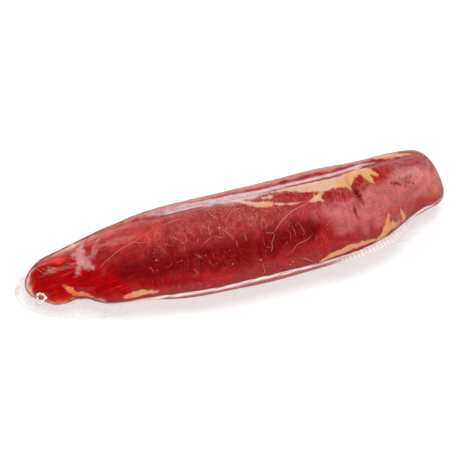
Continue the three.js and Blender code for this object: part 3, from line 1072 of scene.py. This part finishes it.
@dataclass
class Threads:
    """Threads over the meat's face: the drawn ones, a few pale beads that paint glints, and short seeded ones
    between them.
    """

    form: BodyForm
    sides: int = 5
    steps: int = 26
    below: float = 0.3  # mm from the film's outside to a thread's middle
    flatness: float = 0.75  # a thread's thickness as a share of its width
    wobble: tuple[float, float] = (0.07, 0.13)  # of a drawn thread between two steps, mm and degrees
    strays: int = 190
    stray_x: Span = (66, 212)
    high_share: float = 0.75  # of the strays that start in the upper band
    high_deg: Span = (72, 112)
    low_deg: Span = (108, 176)
    stray_radius: Span = (0.05, 0.1)
    stray_strength: Span = (0.15, 0.5)
    clear_share: float = 0.15  # of the strays that are paler than the others
    clear_by: float = 0.3
    stray_length: Span = (1.2, 6)  # mm
    long_share: float = 0.2  # of the strays that are longer than the others
    long_by: float = 1.7
    turn: float = 0.5  # how far a stray's heading varies, radians
    loose_share: float = 0.25  # of the strays that head more freely
    loose_by: float = 1.7
    bend: float = 0.9  # how far the heading bends along a stray, radians
    walk: float = 0.05  # how far it wanders at each step, radians
    back_strays: int = 46
    back_x: Span = (60, 225)
    back_deg: Span = (6, 46)
    back_radius: Span = (0.06, 0.13)
    back_strength: Span = (0.3, 0.7)
    seed: int = 7
    drawn: tuple[Thread, ...] = (
        Thread(
            ((176.5, 99), (170, 100), (166, 102), (157.5, 106), (154, 110), (151, 112), (147.5, 118),
             (143.5, 124)),
            0.17, 0.77,
        ),
        Thread(((143.5, 124), (143.5, 129), (141, 135), (141, 140), (139.5, 146)), 0.13, 0.65),
        Thread(((143.5, 124), (141, 123), (138.5, 122)), 0.12, 0.51),
        Thread(((133, 87), (128.5, 87), (124.5, 88), (122, 92), (120, 96), (118, 102)), 0.13, 0.68),
        Thread(((124.5, 88), (123, 85), (121, 84)), 0.10, 0.51),
        Thread(((141, 93), (143, 97), (145, 100)), 0.12, 0.65),
        Thread(((114.5, 104), (116, 108), (118.5, 114), (119.5, 118)), 0.13, 0.56),
        Thread(((114, 103), (114.6, 104.5)), 0.42, 0.95),
        Thread(((126.5, 116), (127, 122), (127, 126)), 0.12, 0.60),
        Thread(((121.5, 123), (120.5, 130)), 0.12, 0.51),
        Thread(((103.5, 84), (105, 80), (107, 81), (109, 80)), 0.13, 0.65),
        Thread(((112, 81), (112.5, 87), (114.5, 92), (115, 94)), 0.14, 0.73),
        Thread(((115, 79), (117, 86), (119.5, 88)), 0.12, 0.60),
        Thread(((111, 93), (108.5, 99), (108, 105), (107.5, 111)), 0.12, 0.60),
        Thread(((110, 111), (106, 114), (103, 117)), 0.12, 0.51),
        Thread(((155, 120), (156, 128), (155.5, 135)), 0.10, 0.43),
        Thread(((159, 118), (160.5, 126), (161.5, 136)), 0.10, 0.39),
        Thread(((151, 122), (153, 130), (152, 140)), 0.09, 0.34),
        Thread(((148.5, 156), (152.5, 152), (155.5, 145), (161.5, 144), (166, 138)), 0.12, 0.51),
        Thread(((133.5, 159), (133.5, 165), (134.5, 171), (133, 178)), 0.12, 0.56),
        Thread(((157, 165), (162, 172), (165.5, 179)), 0.13, 0.65),
        Thread(((177, 100), (177.5, 106), (178, 112)), 0.12, 0.60),
        Thread(((175, 100), (173, 105), (172, 110)), 0.10, 0.51),
        Thread(((151, 95), (158, 97), (164.5, 97), (170.5, 99)), 0.13, 0.68),
        Thread(((172, 99), (176, 96), (182, 91)), 0.13, 0.68),
        Thread(((76.5, 100), (79, 90), (81.5, 83), (89, 82), (100, 81)), 0.13, 0.51),
        Thread(((42, 114), (48.5, 105), (57, 96), (65, 94), (74, 87), (79, 86)), 0.14, 0.60),
        Thread(((66, 93), (69, 96), (74, 98)), 0.12, 0.47),
        Thread(((74, 87), (75, 95), (73, 101)), 0.14, 0.51),
        Thread(((79, 86), (81, 92), (80, 99)), 0.12, 0.47),
        Thread(((7.1, 52), (10, 74), (12.6, 88)), 0.13, 0.68),
        Thread(((11, 70), (14, 82), (16, 92)), 0.10, 0.51),
        Thread(((174.5, 134), (177, 130), (180.5, 126)), 0.12, 0.56),
        # Tiny pale beads, not threads: painted glints on the wet face
        Thread(((132.2, 152.5), (132.8, 153.5)), 0.50, 1.00),
        Thread(((74.3, 122.5), (74.8, 123.5)), 0.36, 1.00),
        Thread(((151.2, 167.5), (151.8, 168.5)), 0.38, 1.00),
        Thread(((149.2, 170.5), (149.7, 171.5)), 0.34, 1.00),
        Thread(((115.8, 149.5), (116.2, 150.5)), 0.32, 0.90),
        Thread(((101.8, 131.5), (102.2, 132.5)), 0.30, 0.80),
    )

    def wander(
        self, draw: np.random.Generator, start_x: np.ndarray, start_deg: np.ndarray
    ) -> tuple[np.ndarray, np.ndarray]:
        """Paths of strays 1 to 10 mm long. The heading starts near straight across the length and wanders.

        Args:
            draw: the source of random numbers.
            start_x: where each starts, mm.
            start_deg: its angle round, degrees.

        Returns:
            x in mm and angle in degrees, one row for a thread.
        """
        count = len(start_x)
        share = np.linspace(0, 1, self.steps)
        reach = draw.uniform(*self.stray_length, count)
        reach = reach * np.where(draw.random(count) < self.long_share, self.long_by, 1)
        turn = draw.normal(0, self.turn, count)
        turn = turn * np.where(draw.random(count) < self.loose_share, self.loose_by, 1)
        bend = draw.normal(0, self.bend, (count, 1)) * share
        bend = bend + self.walk * np.cumsum(draw.normal(size=(count, self.steps)), 1)
        heading = np.pi / 2 + turn[:, None] + bend
        step = (reach / self.steps)[:, None]
        scale = self.form.scale_round(start_x)[:, None]
        x = start_x[:, None] + np.cumsum(np.cos(heading) * step, 1)
        return x, start_deg[:, None] + np.cumsum(np.sin(heading) * step, 1) / scale

    def paths(self) -> tuple[np.ndarray, np.ndarray, np.ndarray, np.ndarray]:
        """Places along every thread, and its half width and paleness.

        Strays start at random places of the middle and of the back, so each bends and hooks its own way.

        Returns:
            x in mm and angle in degrees, one row for a thread, then its half width and its strength.
        """
        share = np.linspace(0, 1, self.steps)
        drawn = []
        for thread in self.drawn:
            places = np.array(thread.places)
            scale = self.form.scale_round(places[:1, 0])
            steps = np.hypot(np.diff(places[:, 0]), np.diff(places[:, 1]) * scale)
            stops = np.concatenate([[0], np.cumsum(steps)]) / steps.sum()
            drawn.append([np.interp(share, stops, places[:, 0]), np.interp(share, stops, places[:, 1])])
        draw = np.random.default_rng(self.seed)
        even = np.swapaxes(np.array(drawn), 0, 1)
        wobble = np.cumsum(draw.normal(size=even.shape), -1)
        wobble -= wobble[..., :1] + (wobble[..., -1:] - wobble[..., :1]) * share
        long_enough = (np.ptp(even[0], -1) > 1)[None, :, None]
        even = even + wobble * np.array(self.wobble)[:, None, None] * long_enough
        kernel = np.array([1, 2, 3, 2, 1]) / 9
        even[..., 2:-2] = np.apply_along_axis(np.convolve, -1, even, kernel, mode="valid")
        start_x = draw.uniform(*self.stray_x, self.strays)
        high = draw.random(self.strays) < self.high_share
        high_deg = draw.uniform(*self.high_deg, self.strays)
        start_deg = np.where(high, high_deg, draw.uniform(*self.low_deg, self.strays))
        x, deg = self.wander(draw, start_x, start_deg)
        thin = draw.uniform(*self.stray_radius, self.strays)
        pale = draw.uniform(*self.stray_strength, self.strays)
        pale = pale + self.clear_by * (draw.random(self.strays) < self.clear_share)
        start_x = draw.uniform(*self.back_x, self.back_strays)
        start_deg = draw.uniform(*self.back_deg, self.back_strays)
        back_x, back_deg = self.wander(draw, start_x, start_deg)
        back_thin = draw.uniform(*self.back_radius, self.back_strays)
        back_pale = draw.uniform(*self.back_strength, self.back_strays)
        radius = np.concatenate([[t.radius for t in self.drawn], thin, back_thin])
        strength = np.concatenate([[t.strength for t in self.drawn], pale, back_pale])
        all_x = np.concatenate([even[0], x, back_x])
        return all_x, np.concatenate([even[1], deg, back_deg]), radius, strength

    def build(self, shift: np.ndarray) -> bpy.types.Object:
        """Args:
            shift: where the form's zero goes, mm.

        Returns:
            The threads.
        """
        form = self.form
        x, deg, radius, strength = self.paths()
        skin = form.surface(x, deg)
        normal = np.cross(form.surface(x, deg + 0.5) - skin, form.surface(x + 0.2, deg) - skin)
        normal /= np.linalg.norm(normal, axis=-1, keepdims=True)
        core = np.stack([skin[..., 0], form.mid_line(x), form.profile(form.seam_height, x)], -1)
        normal *= np.sign((normal * (skin - core)).sum(-1, keepdims=True))
        along = np.gradient(skin, axis=1)
        along /= np.linalg.norm(along, axis=-1, keepdims=True)
        side = np.cross(along, normal)
        share = np.linspace(0, 1, self.steps)
        # Both ends taper to an eighth of the width
        width = radius[:, None] * (0.12 + 0.88 * np.sin(np.pi * np.clip(share, 0, 1)) ** 0.5)
        turn = np.arange(self.sides) / self.sides * 2 * np.pi
        centre = skin - normal * self.below
        ring = np.cos(turn)[:, None] * side[..., None, :]
        ring = ring + self.flatness * np.sin(turn)[:, None] * normal[..., None, :]
        tubes = centre[..., None, :] + width[..., None, None] * ring
        count, steps, sides = len(x), self.steps, self.sides
        first = (np.arange(count) * steps * sides)[:, None, None]
        i, j = np.meshgrid(np.arange(steps - 1), np.arange(sides), indexing="ij")
        k = (j + 1) % sides
        quads = np.stack([i * sides + j, (i + 1) * sides + j, (i + 1) * sides + k, i * sides + k], -1)
        quads = (first[..., None] + quads[None]).reshape(-1, 4)
        cap = first[:, 0] + np.arange(sides)[::-1]
        caps = np.concatenate([cap, first[:, 0] + (steps - 1) * sides + np.arange(sides)])
        fields = {"strength": np.repeat(strength, steps * sides)}
        surface = Surface(tubes.reshape(-1, 3), [quads, caps], fields)
        piece = surface.build("threads", shift, ThreadTissue().material())
        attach(piece, BODY)
        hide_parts("tenderloin")
        return piece


@dataclass(frozen=True)
class ClearFilm:
    """Clear polyamide and polyethylene bag film, blown and laminated: smooth, glossy and a little milky.

    Where it clings it can't be seen but for its gloss. Where it wrinkles, bridges a groove or is welded to
    the other sheet, light scatters in it and it turns milky. On the skin, milk is also painted as the ridge's
    highlight and as a glare at the tail.
    """

    name: str
    milky: str = "#ffefeb"
    thin: str = "#ffdad4"  # where it is hardly milky
    crazing: float = 0.25
    clear: float = 0.0015  # how much it hides where it clings
    roughness: float = 0.2

    def material(self) -> bpy.types.Material:
        """Builds the finish: its alpha grows with the painted field of milkiness.

        Returns:
            The material.
        """
        material = bpy.data.materials.new(self.name)
        material.use_nodes = True
        tree = material.node_tree
        shader = tree.nodes["Principled BSDF"]
        place = add_node(tree, "ShaderNodeTexCoord", output="Object")
        milk = add_node(tree, "ShaderNodeAttribute", output="Fac", attribute_name="milk")
        # Fine crazing of about 1.5 mm breaks the milky areas up
        crazing = {"Vector": place, "Scale": 650.0, "Detail": 3.0}
        grain = add_node(tree, "ShaderNodeTexNoise", crazing, "Fac")
        broken = add_node(tree, "ShaderNodeMapRange", dict(zip(RANGE, (grain, 0.3, 0.7, 1 - self.crazing))))
        whiteness = add_node(tree, "ShaderNodeMapRange", dict(zip(RANGE, (milk, 0.15, 0.55))))
        colour = layered(tree, linear(self.thin), (((whiteness,), linear(self.milky)),))
        hiding = {0: milk, 1: broken, 2: self.clear}
        alpha = add_node(tree, "ShaderNodeMath", hiding, operation="MULTIPLY_ADD", use_clamp=True)
        relief = {"Height": grain, "Strength": 0.8 * self.crazing, "Distance": 0.08 * MM}
        bump = add_node(tree, "ShaderNodeBump", relief)
        tree.links.new(colour, shader.inputs["Base Color"])
        tree.links.new(alpha, shader.inputs["Alpha"])
        tree.links.new(bump, shader.inputs["Normal"])
        shader.inputs["Roughness"].default_value = self.roughness
        shader.inputs["IOR"].default_value = 1.5
        return material


@dataclass(frozen=True)
class MilkAndHighlightPatch:
    """A patch of milky film, some of them painted highlight: how milky it is, where its edge fades in mm, and
    how uneven it is.
    """

    share: float
    fade: Span
    streaks: tuple[Streak, ...]
    uneven: float = 0.0  # mm that a soft unevenness moves its edge
    ragged: float = 0.0  # mm that a fine one does
    brushed: float = 0.0  # how strongly brush marks break it up

    def over(
        self, form: BodyForm, x: np.ndarray, deg: np.ndarray, noises: Sequence[np.ndarray]
    ) -> np.ndarray:
        """Milkiness that the patch gives at each place.

        Args:
            form: the body.
            x: places along the length, mm.
            deg: angles round, degrees.
            noises: the soft and the fine unevenness and the brush marks there.

        Returns:
            Milkiness from 0 to 1.
        """
        soft, fine, strokes = noises
        depth = depth_in(self.streaks, form, x, deg) + self.uneven * soft + self.ragged * fine
        return self.share * smooth(*self.fade, depth) * (1 + self.brushed * (strokes - 1))


@dataclass
class FilmSkin:
    """The film that lies skin-tight on the meat and bridges its grooves; some milky patches are painted
    highlight.
    """

    form: BodyForm
    tip_out: float = 0.1  # mm from the last ring to the tip
    rows: tuple[int, int] = (30, 320)
    around: int = 190
    patches: tuple[MilkAndHighlightPatch, ...] = (
        # Film that bridges the groove, beside the tail: milky, and painted lighter as the highlight along the
        # ridge
        MilkAndHighlightPatch(
            0.52, (-2.0, 2.2),
            (
                Streak(
                    ((76, 53, 0.3), (86, 57, 1.6), (98, 60, 2.6), (115.5, 66, 3.8), (132, 70, 5),
                     (141, 70, 4.2), (150, 69, 2.6)),
                ),
            ),
            uneven=0.5,
        ),
        # The same, along the fat and towards the head, also part of the painted ridge highlight
        MilkAndHighlightPatch(
            0.46, (-2.2, 2.4),
            (
                Streak(((148, 68, 3), (171, 67, 2), (190, 68, 1.6), (210, 68, 1))),
            ),
            uneven=0.5,
        ),
        # The fold along the ridge behind the groove, painted as the ridge's bright highlight line
        MilkAndHighlightPatch(
            0.62, (-0.7, 0.6),
            (
                Streak(
                    ((86, 54, 0.1), (98, 55, 0.5), (116.5, 59, 0.9), (134.8, 60.5, 1), (153, 63, 1),
                     (171.5, 64, 0.7), (190, 64.5, 0.8), (211, 64, 0.8), (222, 67, 0.2)),
                ),
            ),
            uneven=0.08,
        ),
        # Ragged patches where the film hangs loose, painted milkier as a glare at the tail and a glint on the
        # ridge
        MilkAndHighlightPatch(
            0.31, (-1.0, 1.4),
            (
                Streak(
                    ((39.5, 54, 0.7), (36, 68, 2.2), (35, 80, 3.4), (35.5, 92, 3.6), (36.5, 102, 2.4),
                     (39.5, 110, 1.0)),
                ),
                Streak(((34, 94, 1.6), (31, 106, 0.8), (29.5, 114, 0.3))),
                Streak(((33, 72, 1.4), (31, 72, 0.8))),
                Streak(((140, 69, 0.8), (145, 72, 2.0), (151, 74, 1.2))),
                Streak(((14.8, 77, 0.5), (16.4, 87, 0.8), (18, 93, 0.5))),
                Streak(((16.4, 86, 0.4), (19.5, 85, 0.6))),
            ),
            ragged=1.0,
        ),
        # Fine folds at the tail
        MilkAndHighlightPatch(
            0.22, (-0.6, 0.6),
            (
                Streak(((48, 68, 0.4), (43.5, 79, 0.7), (39.5, 98, 0.3))),
                Streak(((46, 82, 0.3), (42, 92, 0.4), (41.5, 99, 0.2))),
                Streak(((23.5, 163, 0.35), (26, 178, 0.6))),
            ),
            uneven=0.1,
        ),
        # A brushed bloom at the top of the head
        MilkAndHighlightPatch(
            0.2, (-2.0, 2.0),
            (
                Streak(((226, 102, 1.5), (234, 106, 4), (245, 110, 3.5), (250, 118, 2))),
            ),
            ragged=1.0, brushed=1.0,
        ),
        # A thin veil behind the glare
        MilkAndHighlightPatch(
            0.12, (-1.5, 1.5),
            (
                Streak(((46, 80, 0.6), (56, 84, 1.6), (66, 87, 1.2))),
            ),
            ragged=1.0,
        ),
    )

    def milkiness(self, x: np.ndarray, deg: np.ndarray, points: np.ndarray) -> np.ndarray:
        """How milky the film is: the most that any of its patches gives.

        Args:
            x: places along the length, mm.
            deg: angles round, degrees.
            points: the film's surface there.

        Returns:
            Milkiness from 0 to 1.
        """
        uneven = Ripples(7, 31).at(points)
        ragged = 0.5 * Ripples(3, 32).at(points) + 0.3 * Ripples(1.4, 33).at(points)
        # Brush marks across the length, 1.2 mm wide
        strokes = Ripples(1.2, 34).at(np.stack([2.2 * x, 0.12 * deg, 0 * x], -1))
        brushed = np.clip(0.6 + 0.35 * strokes, 0, 1.4)
        return np.max([p.over(self.form, x, deg, (uneven, ragged, brushed)) for p in self.patches], axis=0)

    def build(self, shift: np.ndarray) -> bpy.types.Object:
        """Builds the skin of film, hides the imported solid it stands for, and returns it.

        Args:
            shift: where the form's zero goes, mm.

        Returns:
            The film skin.
        """
        form = self.form
        rows, angles = form.rows(*self.rows), form.angles(self.around)
        x, deg = np.meshgrid(rows, angles, indexing="ij")
        grid = form.surface(x, deg)
        step = np.array([self.tip_out, 0, 0])
        tips = np.stack([grid[0].mean(0) - step, grid[-1].mean(0) + step])
        tips[:, 0] = np.clip(tips[:, 0], 0.0, form.length)
        milk = self.milkiness(x, deg, grid)
        fields = {"milk": np.concatenate([milk.ravel(), milk[[0, -1]].mean(1)])}
        points = np.concatenate([grid.reshape(-1, 3), tips])
        surface = Surface(points, list(closed_rings(len(rows), self.around)), fields)
        piece = surface.build("film_skin", shift, ClearFilm("clinging_bag_film").material())
        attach(piece, BODY)
        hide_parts("tenderloin")
        return piece


@dataclass
class SealedEdge:
    """The bag's sealed edge: two sheets of film welded together all round the meat."""

    form: BodyForm
    stations: Values = (0, 0.05, 0.13, 0.3, 0.5, 0.7, 0.8, 0.88, 0.94, 1)
    front_reach: Values = (6.2, 5.8, 7.2, 3.3, 3.4, 3.8, 5.6, 9.6, 6, 2.4)
    front_droop: Values = (4, 4.4, 5.8, 2.2, 2.2, 1.4, 2.6, 6, 4, 1)
    back_reach: Values = (6.2, 3.6, 2.95, 2.95, 2.95, 2.95, 2.95, 2.95, 2.75, 2.4)
    back_droop: Values = (4, 1.8, 1.4, 1.2, 1.2, 1.2, 1.2, 1.2, 1, 1)
    ruffle: Values = (0.9, 0.9, 0.8, 0.3, 0.2, 0.25, 0.4, 0.8, 0.5, 0.2)
    ruffle_length: float = 11
    droop_power: float = 1.5
    root_half: float = 0.5  # half thickness where the sheets part, mm
    edge_half: float = 0.14
    tucked: float = 0.15  # mm that its root reaches under the film
    bunching: float = 0.8  # below 1, the points across crowd less at the root
    pucker_waves: float = 0.08  # height of the small waves as a share of the ruffle
    crimp_step: float = 2.6  # mm from one crimp bar to the next
    crimp: tuple[float, float] = (0.44, 0.12)  # how milky the crimped band is, and how much its bars differ
    crimp_root: Span = (0.2, 0.6)  # mm outward: the crimped band fades in
    crimp_end: Span = (4.8, 5.6)
    weld_root: Span = (0.0, 0.25)  # mm outward: the weld fades in
    weld_end: Span = (1.25, 1.7)
    weld: Span = (0.15, 0.9)  # how milky the weld is at the ends and along the middle
    weld_back: float = 0.12  # share of it along the back
    web_clear: float = 0.03  # how milky the web is, and by how much more along the back and at the ends
    web_back: float = 0.1
    web_tail: float = 0.1
    web_head: float = 0.06
    free_edge: float = 0.12
    bright_pleat: float = 0.5
    soft_pleat: float = 0.32
    head_band: Values = (168, 190, 218, 240)  # mm along: the crimped band fades in and out
    tail_end: Span = (34, 60)
    head_start: Span = (238, 258)
    across: int = 14
    rows: tuple[int, int] = (40, 520)

    def outline(self) -> tuple[np.ndarray, ...]:
        """Places along the front to the head and home along the back.

        Returns:
            x in mm, angle in degrees, reach and droop in mm, and the ruffle's height.
        """
        form = self.form
        rows = form.rows(*self.rows)
        x = np.concatenate([[0.0], rows, [form.length], rows[::-1]])
        front = np.arange(len(x)) < len(rows) + 2
        deg = np.where(front, 180.0, 0.0)
        reach = np.where(
            front,
            form.profile(self.front_reach, x, self.stations),
            form.profile(self.back_reach, x, self.stations),
        )
        droop = np.where(
            front,
            form.profile(self.front_droop, x, self.stations),
            form.profile(self.back_droop, x, self.stations),
        )
        return x, deg, reach, droop, form.profile(self.ruffle, x, self.stations)

    @staticmethod
    def plan_outward(line: np.ndarray) -> np.ndarray:
        """Outward direction in plan at each point of a closed line.

        Args:
            line: the line's points.

        Returns:
            One level unit vector for each point.
        """
        step = np.roll(line, -1, 0) - np.roll(line, 1, 0)
        out = np.stack([step[:, 1], -step[:, 0], np.zeros(len(line))], -1)
        return out / np.linalg.norm(out, axis=1, keepdims=True)

    def milkiness(
        self, x: np.ndarray, deg: np.ndarray, arc: np.ndarray, out: np.ndarray, share: np.ndarray,
        points: np.ndarray,
    ) -> np.ndarray:
        """How milky the sheets are: a bright weld by the meat, a clear web, a bright free edge and pleats.

        Args:
            x: place along the length of each station, mm.
            deg: 180 along the front and 0 along the back.
            arc: mm along the edge.
            out: mm outward from the meat, for each point.
            share: share of the way outward.
            points: the points, mm.

        Returns:
            Milkiness from 0 to 1.
        """
        crinkle = np.clip(Ripples(5, 43).at(points), 0, 2)
        front = (deg > 90).astype(float)[:, None]
        head = smooth(*self.head_band[:2], x) * (1 - smooth(*self.head_band[2:], x))
        head = head[:, None] * front
        tail = (1 - smooth(*self.tail_end, x))[:, None]
        body = (1 - tail) * (1 - smooth(*self.head_start, x))[:, None]
        strokes = Ripples(1.2, 44).at(np.stack([0.15 * arc[:, None] + 0 * out, 3 * out, 0 * out], -1))
        # The weld is 1.3 mm wide, streaky and milky; its brightness along the front's middle, against a dim
        # back, is a painted glint
        ends, middle = self.weld
        weld = (ends + (middle - ends) * body) * (self.weld_back + (1 - self.weld_back) * front)
        weld = weld * (0.72 + 0.3 * strokes)
        weld = weld * smooth(*self.weld_root, out) * (1 - smooth(*self.weld_end, out))
        mean, swing = self.crimp
        bars = mean + swing * np.sin(2 * np.pi * arc / self.crimp_step)[:, None]
        band = head * bars * smooth(*self.crimp_root, out) * (1 - smooth(*self.crimp_end, out))
        free = self.free_edge * smooth(0.92, 1, share) * (0.4 + tail)
        web = self.web_clear + self.web_back * (1 - front) + self.web_tail * tail + self.web_head * head
        web = web + crinkle * (0.03 * tail + 0.02 * head)
        gathers = Ripples(4.6, 45).at(np.stack([arc[:, None] + 0.5 * out, 0.25 * out, 0 * out], -1))
        bright = self.bright_pleat * smooth(0.9, 1.9, gathers)
        pleats = tail * (bright + self.soft_pleat * smooth(1.0, 1.8, -gathers))
        return np.maximum(weld, band) + web + free + pleats * smooth(0, 0.3, share) * (1 - 0.5 * share)

    def build(self, shift: np.ndarray) -> bpy.types.Object:
        """Args:
            shift: where the form's zero goes, mm.

        Returns:
            The sealed edge.
        """
        form = self.form
        x, deg, reach, droop, ruffle = self.outline()
        inner, even = form.surface(x, deg), form.surface(x, deg, relief=False)
        edge = even + self.plan_outward(even) * reach[:, None]
        inner = inner - self.plan_outward(inner) * self.tucked
        arc = np.concatenate([[0], np.cumsum(np.linalg.norm(np.diff(even, axis=0), axis=1))])
        t = np.linspace(0, 1, self.across) ** self.bunching
        middle = inner[:, None] + (edge - inner)[:, None] * t[None, :, None]
        wave = ruffle * np.sin(2 * np.pi * arc / self.ruffle_length)
        fine = self.pucker_waves * ruffle * Ripples(4.5, 41).at(np.stack([arc, 0 * arc, 0 * arc], -1))
        drop = droop[:, None] * t**self.droop_power - (wave[:, None] * t**2 + fine[:, None] * t)
        middle[..., 2] -= drop
        half = self.root_half + (self.edge_half - self.root_half) * np.sqrt(t)
        lift = np.array([0, 0, 1.0]) * half[:, None]
        section = np.concatenate([middle + lift, (middle - lift)[:, ::-1]], 1)
        quads = closed_grid(len(x), 2 * self.across)
        share = np.concatenate([t, t[::-1]])
        milk = self.milkiness(x, deg, arc, share * reach[:, None], share, section)
        fields = {"milk": np.clip(milk, 0, 0.95).ravel()}
        surface = Surface(section.reshape(-1, 3), [quads], fields)
        finish = ClearFilm("welded_bag_edge", milky="#eadcd9", thin="#cec8c7", crazing=0.08)
        piece = surface.build("welded_edge", shift, finish.material())
        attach(piece, BODY)
        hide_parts("sealed_edge")
        return piece


@dataclass
class Pucker:
    """Gathered film at the front of the tail, where the air was drawn off: a small knotted ring."""

    form: BodyForm
    place: Place = (7.6, 166)
    out: float = 0.9  # mm outward from the meat
    lift: float = 0.9
    ring: float = 2.5
    tube: float = 1.0
    tilt: tuple[float, float] = (0.72, 0.69)  # how far the ring's plane rises, and how far it leans back
    grid: tuple[int, int] = (96, 20)

    def build(self, shift: np.ndarray) -> bpy.types.Object:
        """Args:
            shift: where the form's zero goes, mm.

        Returns:
            The pucker.
        """
        middle, deg = self.place
        beside = self.form.surface(np.array([middle - 0.3, middle + 0.3]), deg, relief=False)
        along = beside[1] - beside[0]
        along /= np.linalg.norm(along)
        outwards = np.array([along[1], -along[0], 0.0])
        centre = self.form.surface(middle, deg) + outwards * self.out + [0, 0, self.lift]
        rise = np.array([0, 0, 1.0]) * self.tilt[0] - outwards * self.tilt[1]
        face = np.cross(along, rise)
        u, v = np.meshgrid(*(np.arange(n) / n * 2 * np.pi for n in self.grid), indexing="ij")
        circle = np.stack([np.cos(u), np.sin(u), 0.4 * np.sin(v)], -1)
        # Three broad lobes and seven small ones round the ring, and five thick places along it
        radius = self.ring * (1 + 0.16 * np.sin(3 * u + 0.7) + 0.08 * np.sin(7 * u))
        thick = self.tube * (0.75 + 0.22 * np.sin(5 * u + 1) + 0.12 * np.sin(11 * u + 2 * v))
        spoke = np.cos(u)[..., None] * along + np.sin(u)[..., None] * rise
        points = centre + spoke * (radius + thick * np.cos(v))[..., None]
        points = points + face * (thick * np.sin(v))[..., None]
        quads = np.roll(closed_grid(*self.grid)[:, ::-1], 1, axis=1)
        milk = np.clip(0.62 + 0.25 * np.cos(v) + 0.2 * Ripples(1.2, 51).at(circle * 3), 0, 1)
        surface = Surface(points.reshape(-1, 3), [quads], {"milk": milk.ravel()})
        finish = ClearFilm("gathered_film", thin="#c9a9a6", crazing=0.08)
        piece = surface.build("pucker", shift, finish.material())
        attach(piece, BODY)
        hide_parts("sealed_edge")
        return piece


@dataclass(frozen=True)
class SoftBox:
    """A soft light: its place and size in metres, its watts, and whether it shows only in the gloss."""

    name: str
    place: tuple[float, float, float]
    size: tuple[float, float]
    watts: float
    gloss_only: bool = False


@dataclass
class Studio:
    """White floor, a dim room, the camera, and soft lights: behind for the gloss, above and in front."""

    azimuth: float = -18.0
    elevation: float = 47.0
    distance: float = 0.95
    lens: float = 122.9
    target: tuple[float, float, float] = (0.0009, -0.00114, 0.018)
    aim_right: float = -0.0076  # the camera looks this far left of the target
    aim_up: float = 0.003
    floor_half: float = 6.0
    floor_colour: str = "#b0b2b1"
    floor_glow: float = 0.66  # lifts the floor to white
    room_glow: float = 0.06
    lights: tuple[SoftBox, ...] = (
        SoftBox("behind", (0.3, 1.2, 0.42), (1.8, 0.7), 10, gloss_only=True),
        SoftBox("top", (0.05, 0.08, 1.3), (1.2, 0.8), 22.5),
        SoftBox("front", (-0.2, -1.3, 0.3), (1.4, 0.5), 9),
    )

    def camera(self) -> bpy.types.Object:
        """Makes the camera at the photograph's viewing angle.

        Returns:
            The camera.
        """
        az, el = np.radians(self.azimuth), np.radians(self.elevation)
        back = Vector((np.sin(az) * np.cos(el), -np.cos(az) * np.cos(el), np.sin(el)))
        right = Vector((np.cos(az), np.sin(az), 0))
        up = back.cross(right)
        eye = Vector(self.target) + back * self.distance
        aim = Vector(self.target) + right * self.aim_right + up * self.aim_up
        turned_back = (eye - aim).normalized()
        level = (right - turned_back * right.dot(turned_back)).normalized()
        axes = Matrix((level, turned_back.cross(level), turned_back)).transposed()
        data = bpy.data.cameras.new("camera")
        data.lens = self.lens
        camera = bpy.data.objects.new("camera", data)
        camera.location = eye
        camera.rotation_euler = axes.to_euler()
        bpy.context.scene.collection.objects.link(camera)
        bpy.context.scene.camera = camera
        return camera

    @staticmethod
    def shine(box: SoftBox) -> None:
        """Adds a soft light that faces the object.

        Args:
            box: the light.
        """
        data = bpy.data.lights.new(box.name, "AREA")
        data.shape = "RECTANGLE"
        data.size, data.size_y = box.size
        data.energy = box.watts
        lamp = bpy.data.objects.new(box.name, data)
        lamp.location = box.place
        lamp.rotation_euler = (-Vector(box.place)).to_track_quat("-Z", "Y").to_euler()
        lamp.visible_glossy = box.gloss_only
        lamp.visible_diffuse = not box.gloss_only
        bpy.context.scene.collection.objects.link(lamp)

    def floor(self) -> None:
        """Makes the white floor as one wide sheet."""
        side = self.floor_half
        mesh = bpy.data.meshes.new("floor")
        corners = [(-side, -side, 0), (side, -side, 0), (side, side, 0), (-side, side, 0)]
        mesh.from_pydata(corners, [], [(0, 1, 2, 3)])
        material = bpy.data.materials.new("white_sweep")
        material.use_nodes = True
        shader = material.node_tree.nodes["Principled BSDF"]
        shader.inputs["Base Color"].default_value = linear(self.floor_colour)
        shader.inputs["Roughness"].default_value = 0.6
        shader.inputs["Emission Color"].default_value = linear("#ffffff")
        shader.inputs["Emission Strength"].default_value = self.floor_glow
        mesh.materials.append(material)
        floor = bpy.data.objects.new("floor", mesh)
        bpy.context.scene.collection.objects.link(floor)

    def build(self) -> None:
        """Sets the stage: camera, floor, lights and the room."""
        self.camera()
        self.floor()
        for box in self.lights:
            self.shine(box)
        world = bpy.data.worlds.new("room")
        world.use_nodes = True
        world.node_tree.nodes["Background"].inputs["Color"].default_value = linear("#ffffff")
        world.node_tree.nodes["Background"].inputs["Strength"].default_value = self.room_glow
        bpy.context.scene.world = world
        bpy.context.scene.view_settings.view_transform = "Standard"


def form_shift(form: BodyForm) -> np.ndarray:
    """Where the form's zero lies in the frame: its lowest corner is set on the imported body's.

    Args:
        form: the body.

    Returns:
        The shift in mm.
    """
    low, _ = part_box("tenderloin")
    x, deg = np.meshgrid(form.rows(8, 78), np.arange(0, 360, 2.0), indexing="ij")
    points = form.surface(x, deg)
    return np.array([low[0] / MM, low[1] / MM - points[..., 1].min(), 0.0])


def main() -> None:
    """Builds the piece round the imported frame."""
    logging.basicConfig(level=logging.INFO, format="%(message)s")
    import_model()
    Studio().build()
    form = BodyForm()
    shift = form_shift(form)
    LOG.info("form shift %s mm", np.round(shift, 3))
    for piece in (Meat(form), Threads(form), FilmSkin(form), SealedEdge(form), Pucker(form)):
        made = piece.build(shift)
        LOG.info("%s: %d faces", made.name, len(made.data.polygons))


if __name__ == "__main__":
    main()
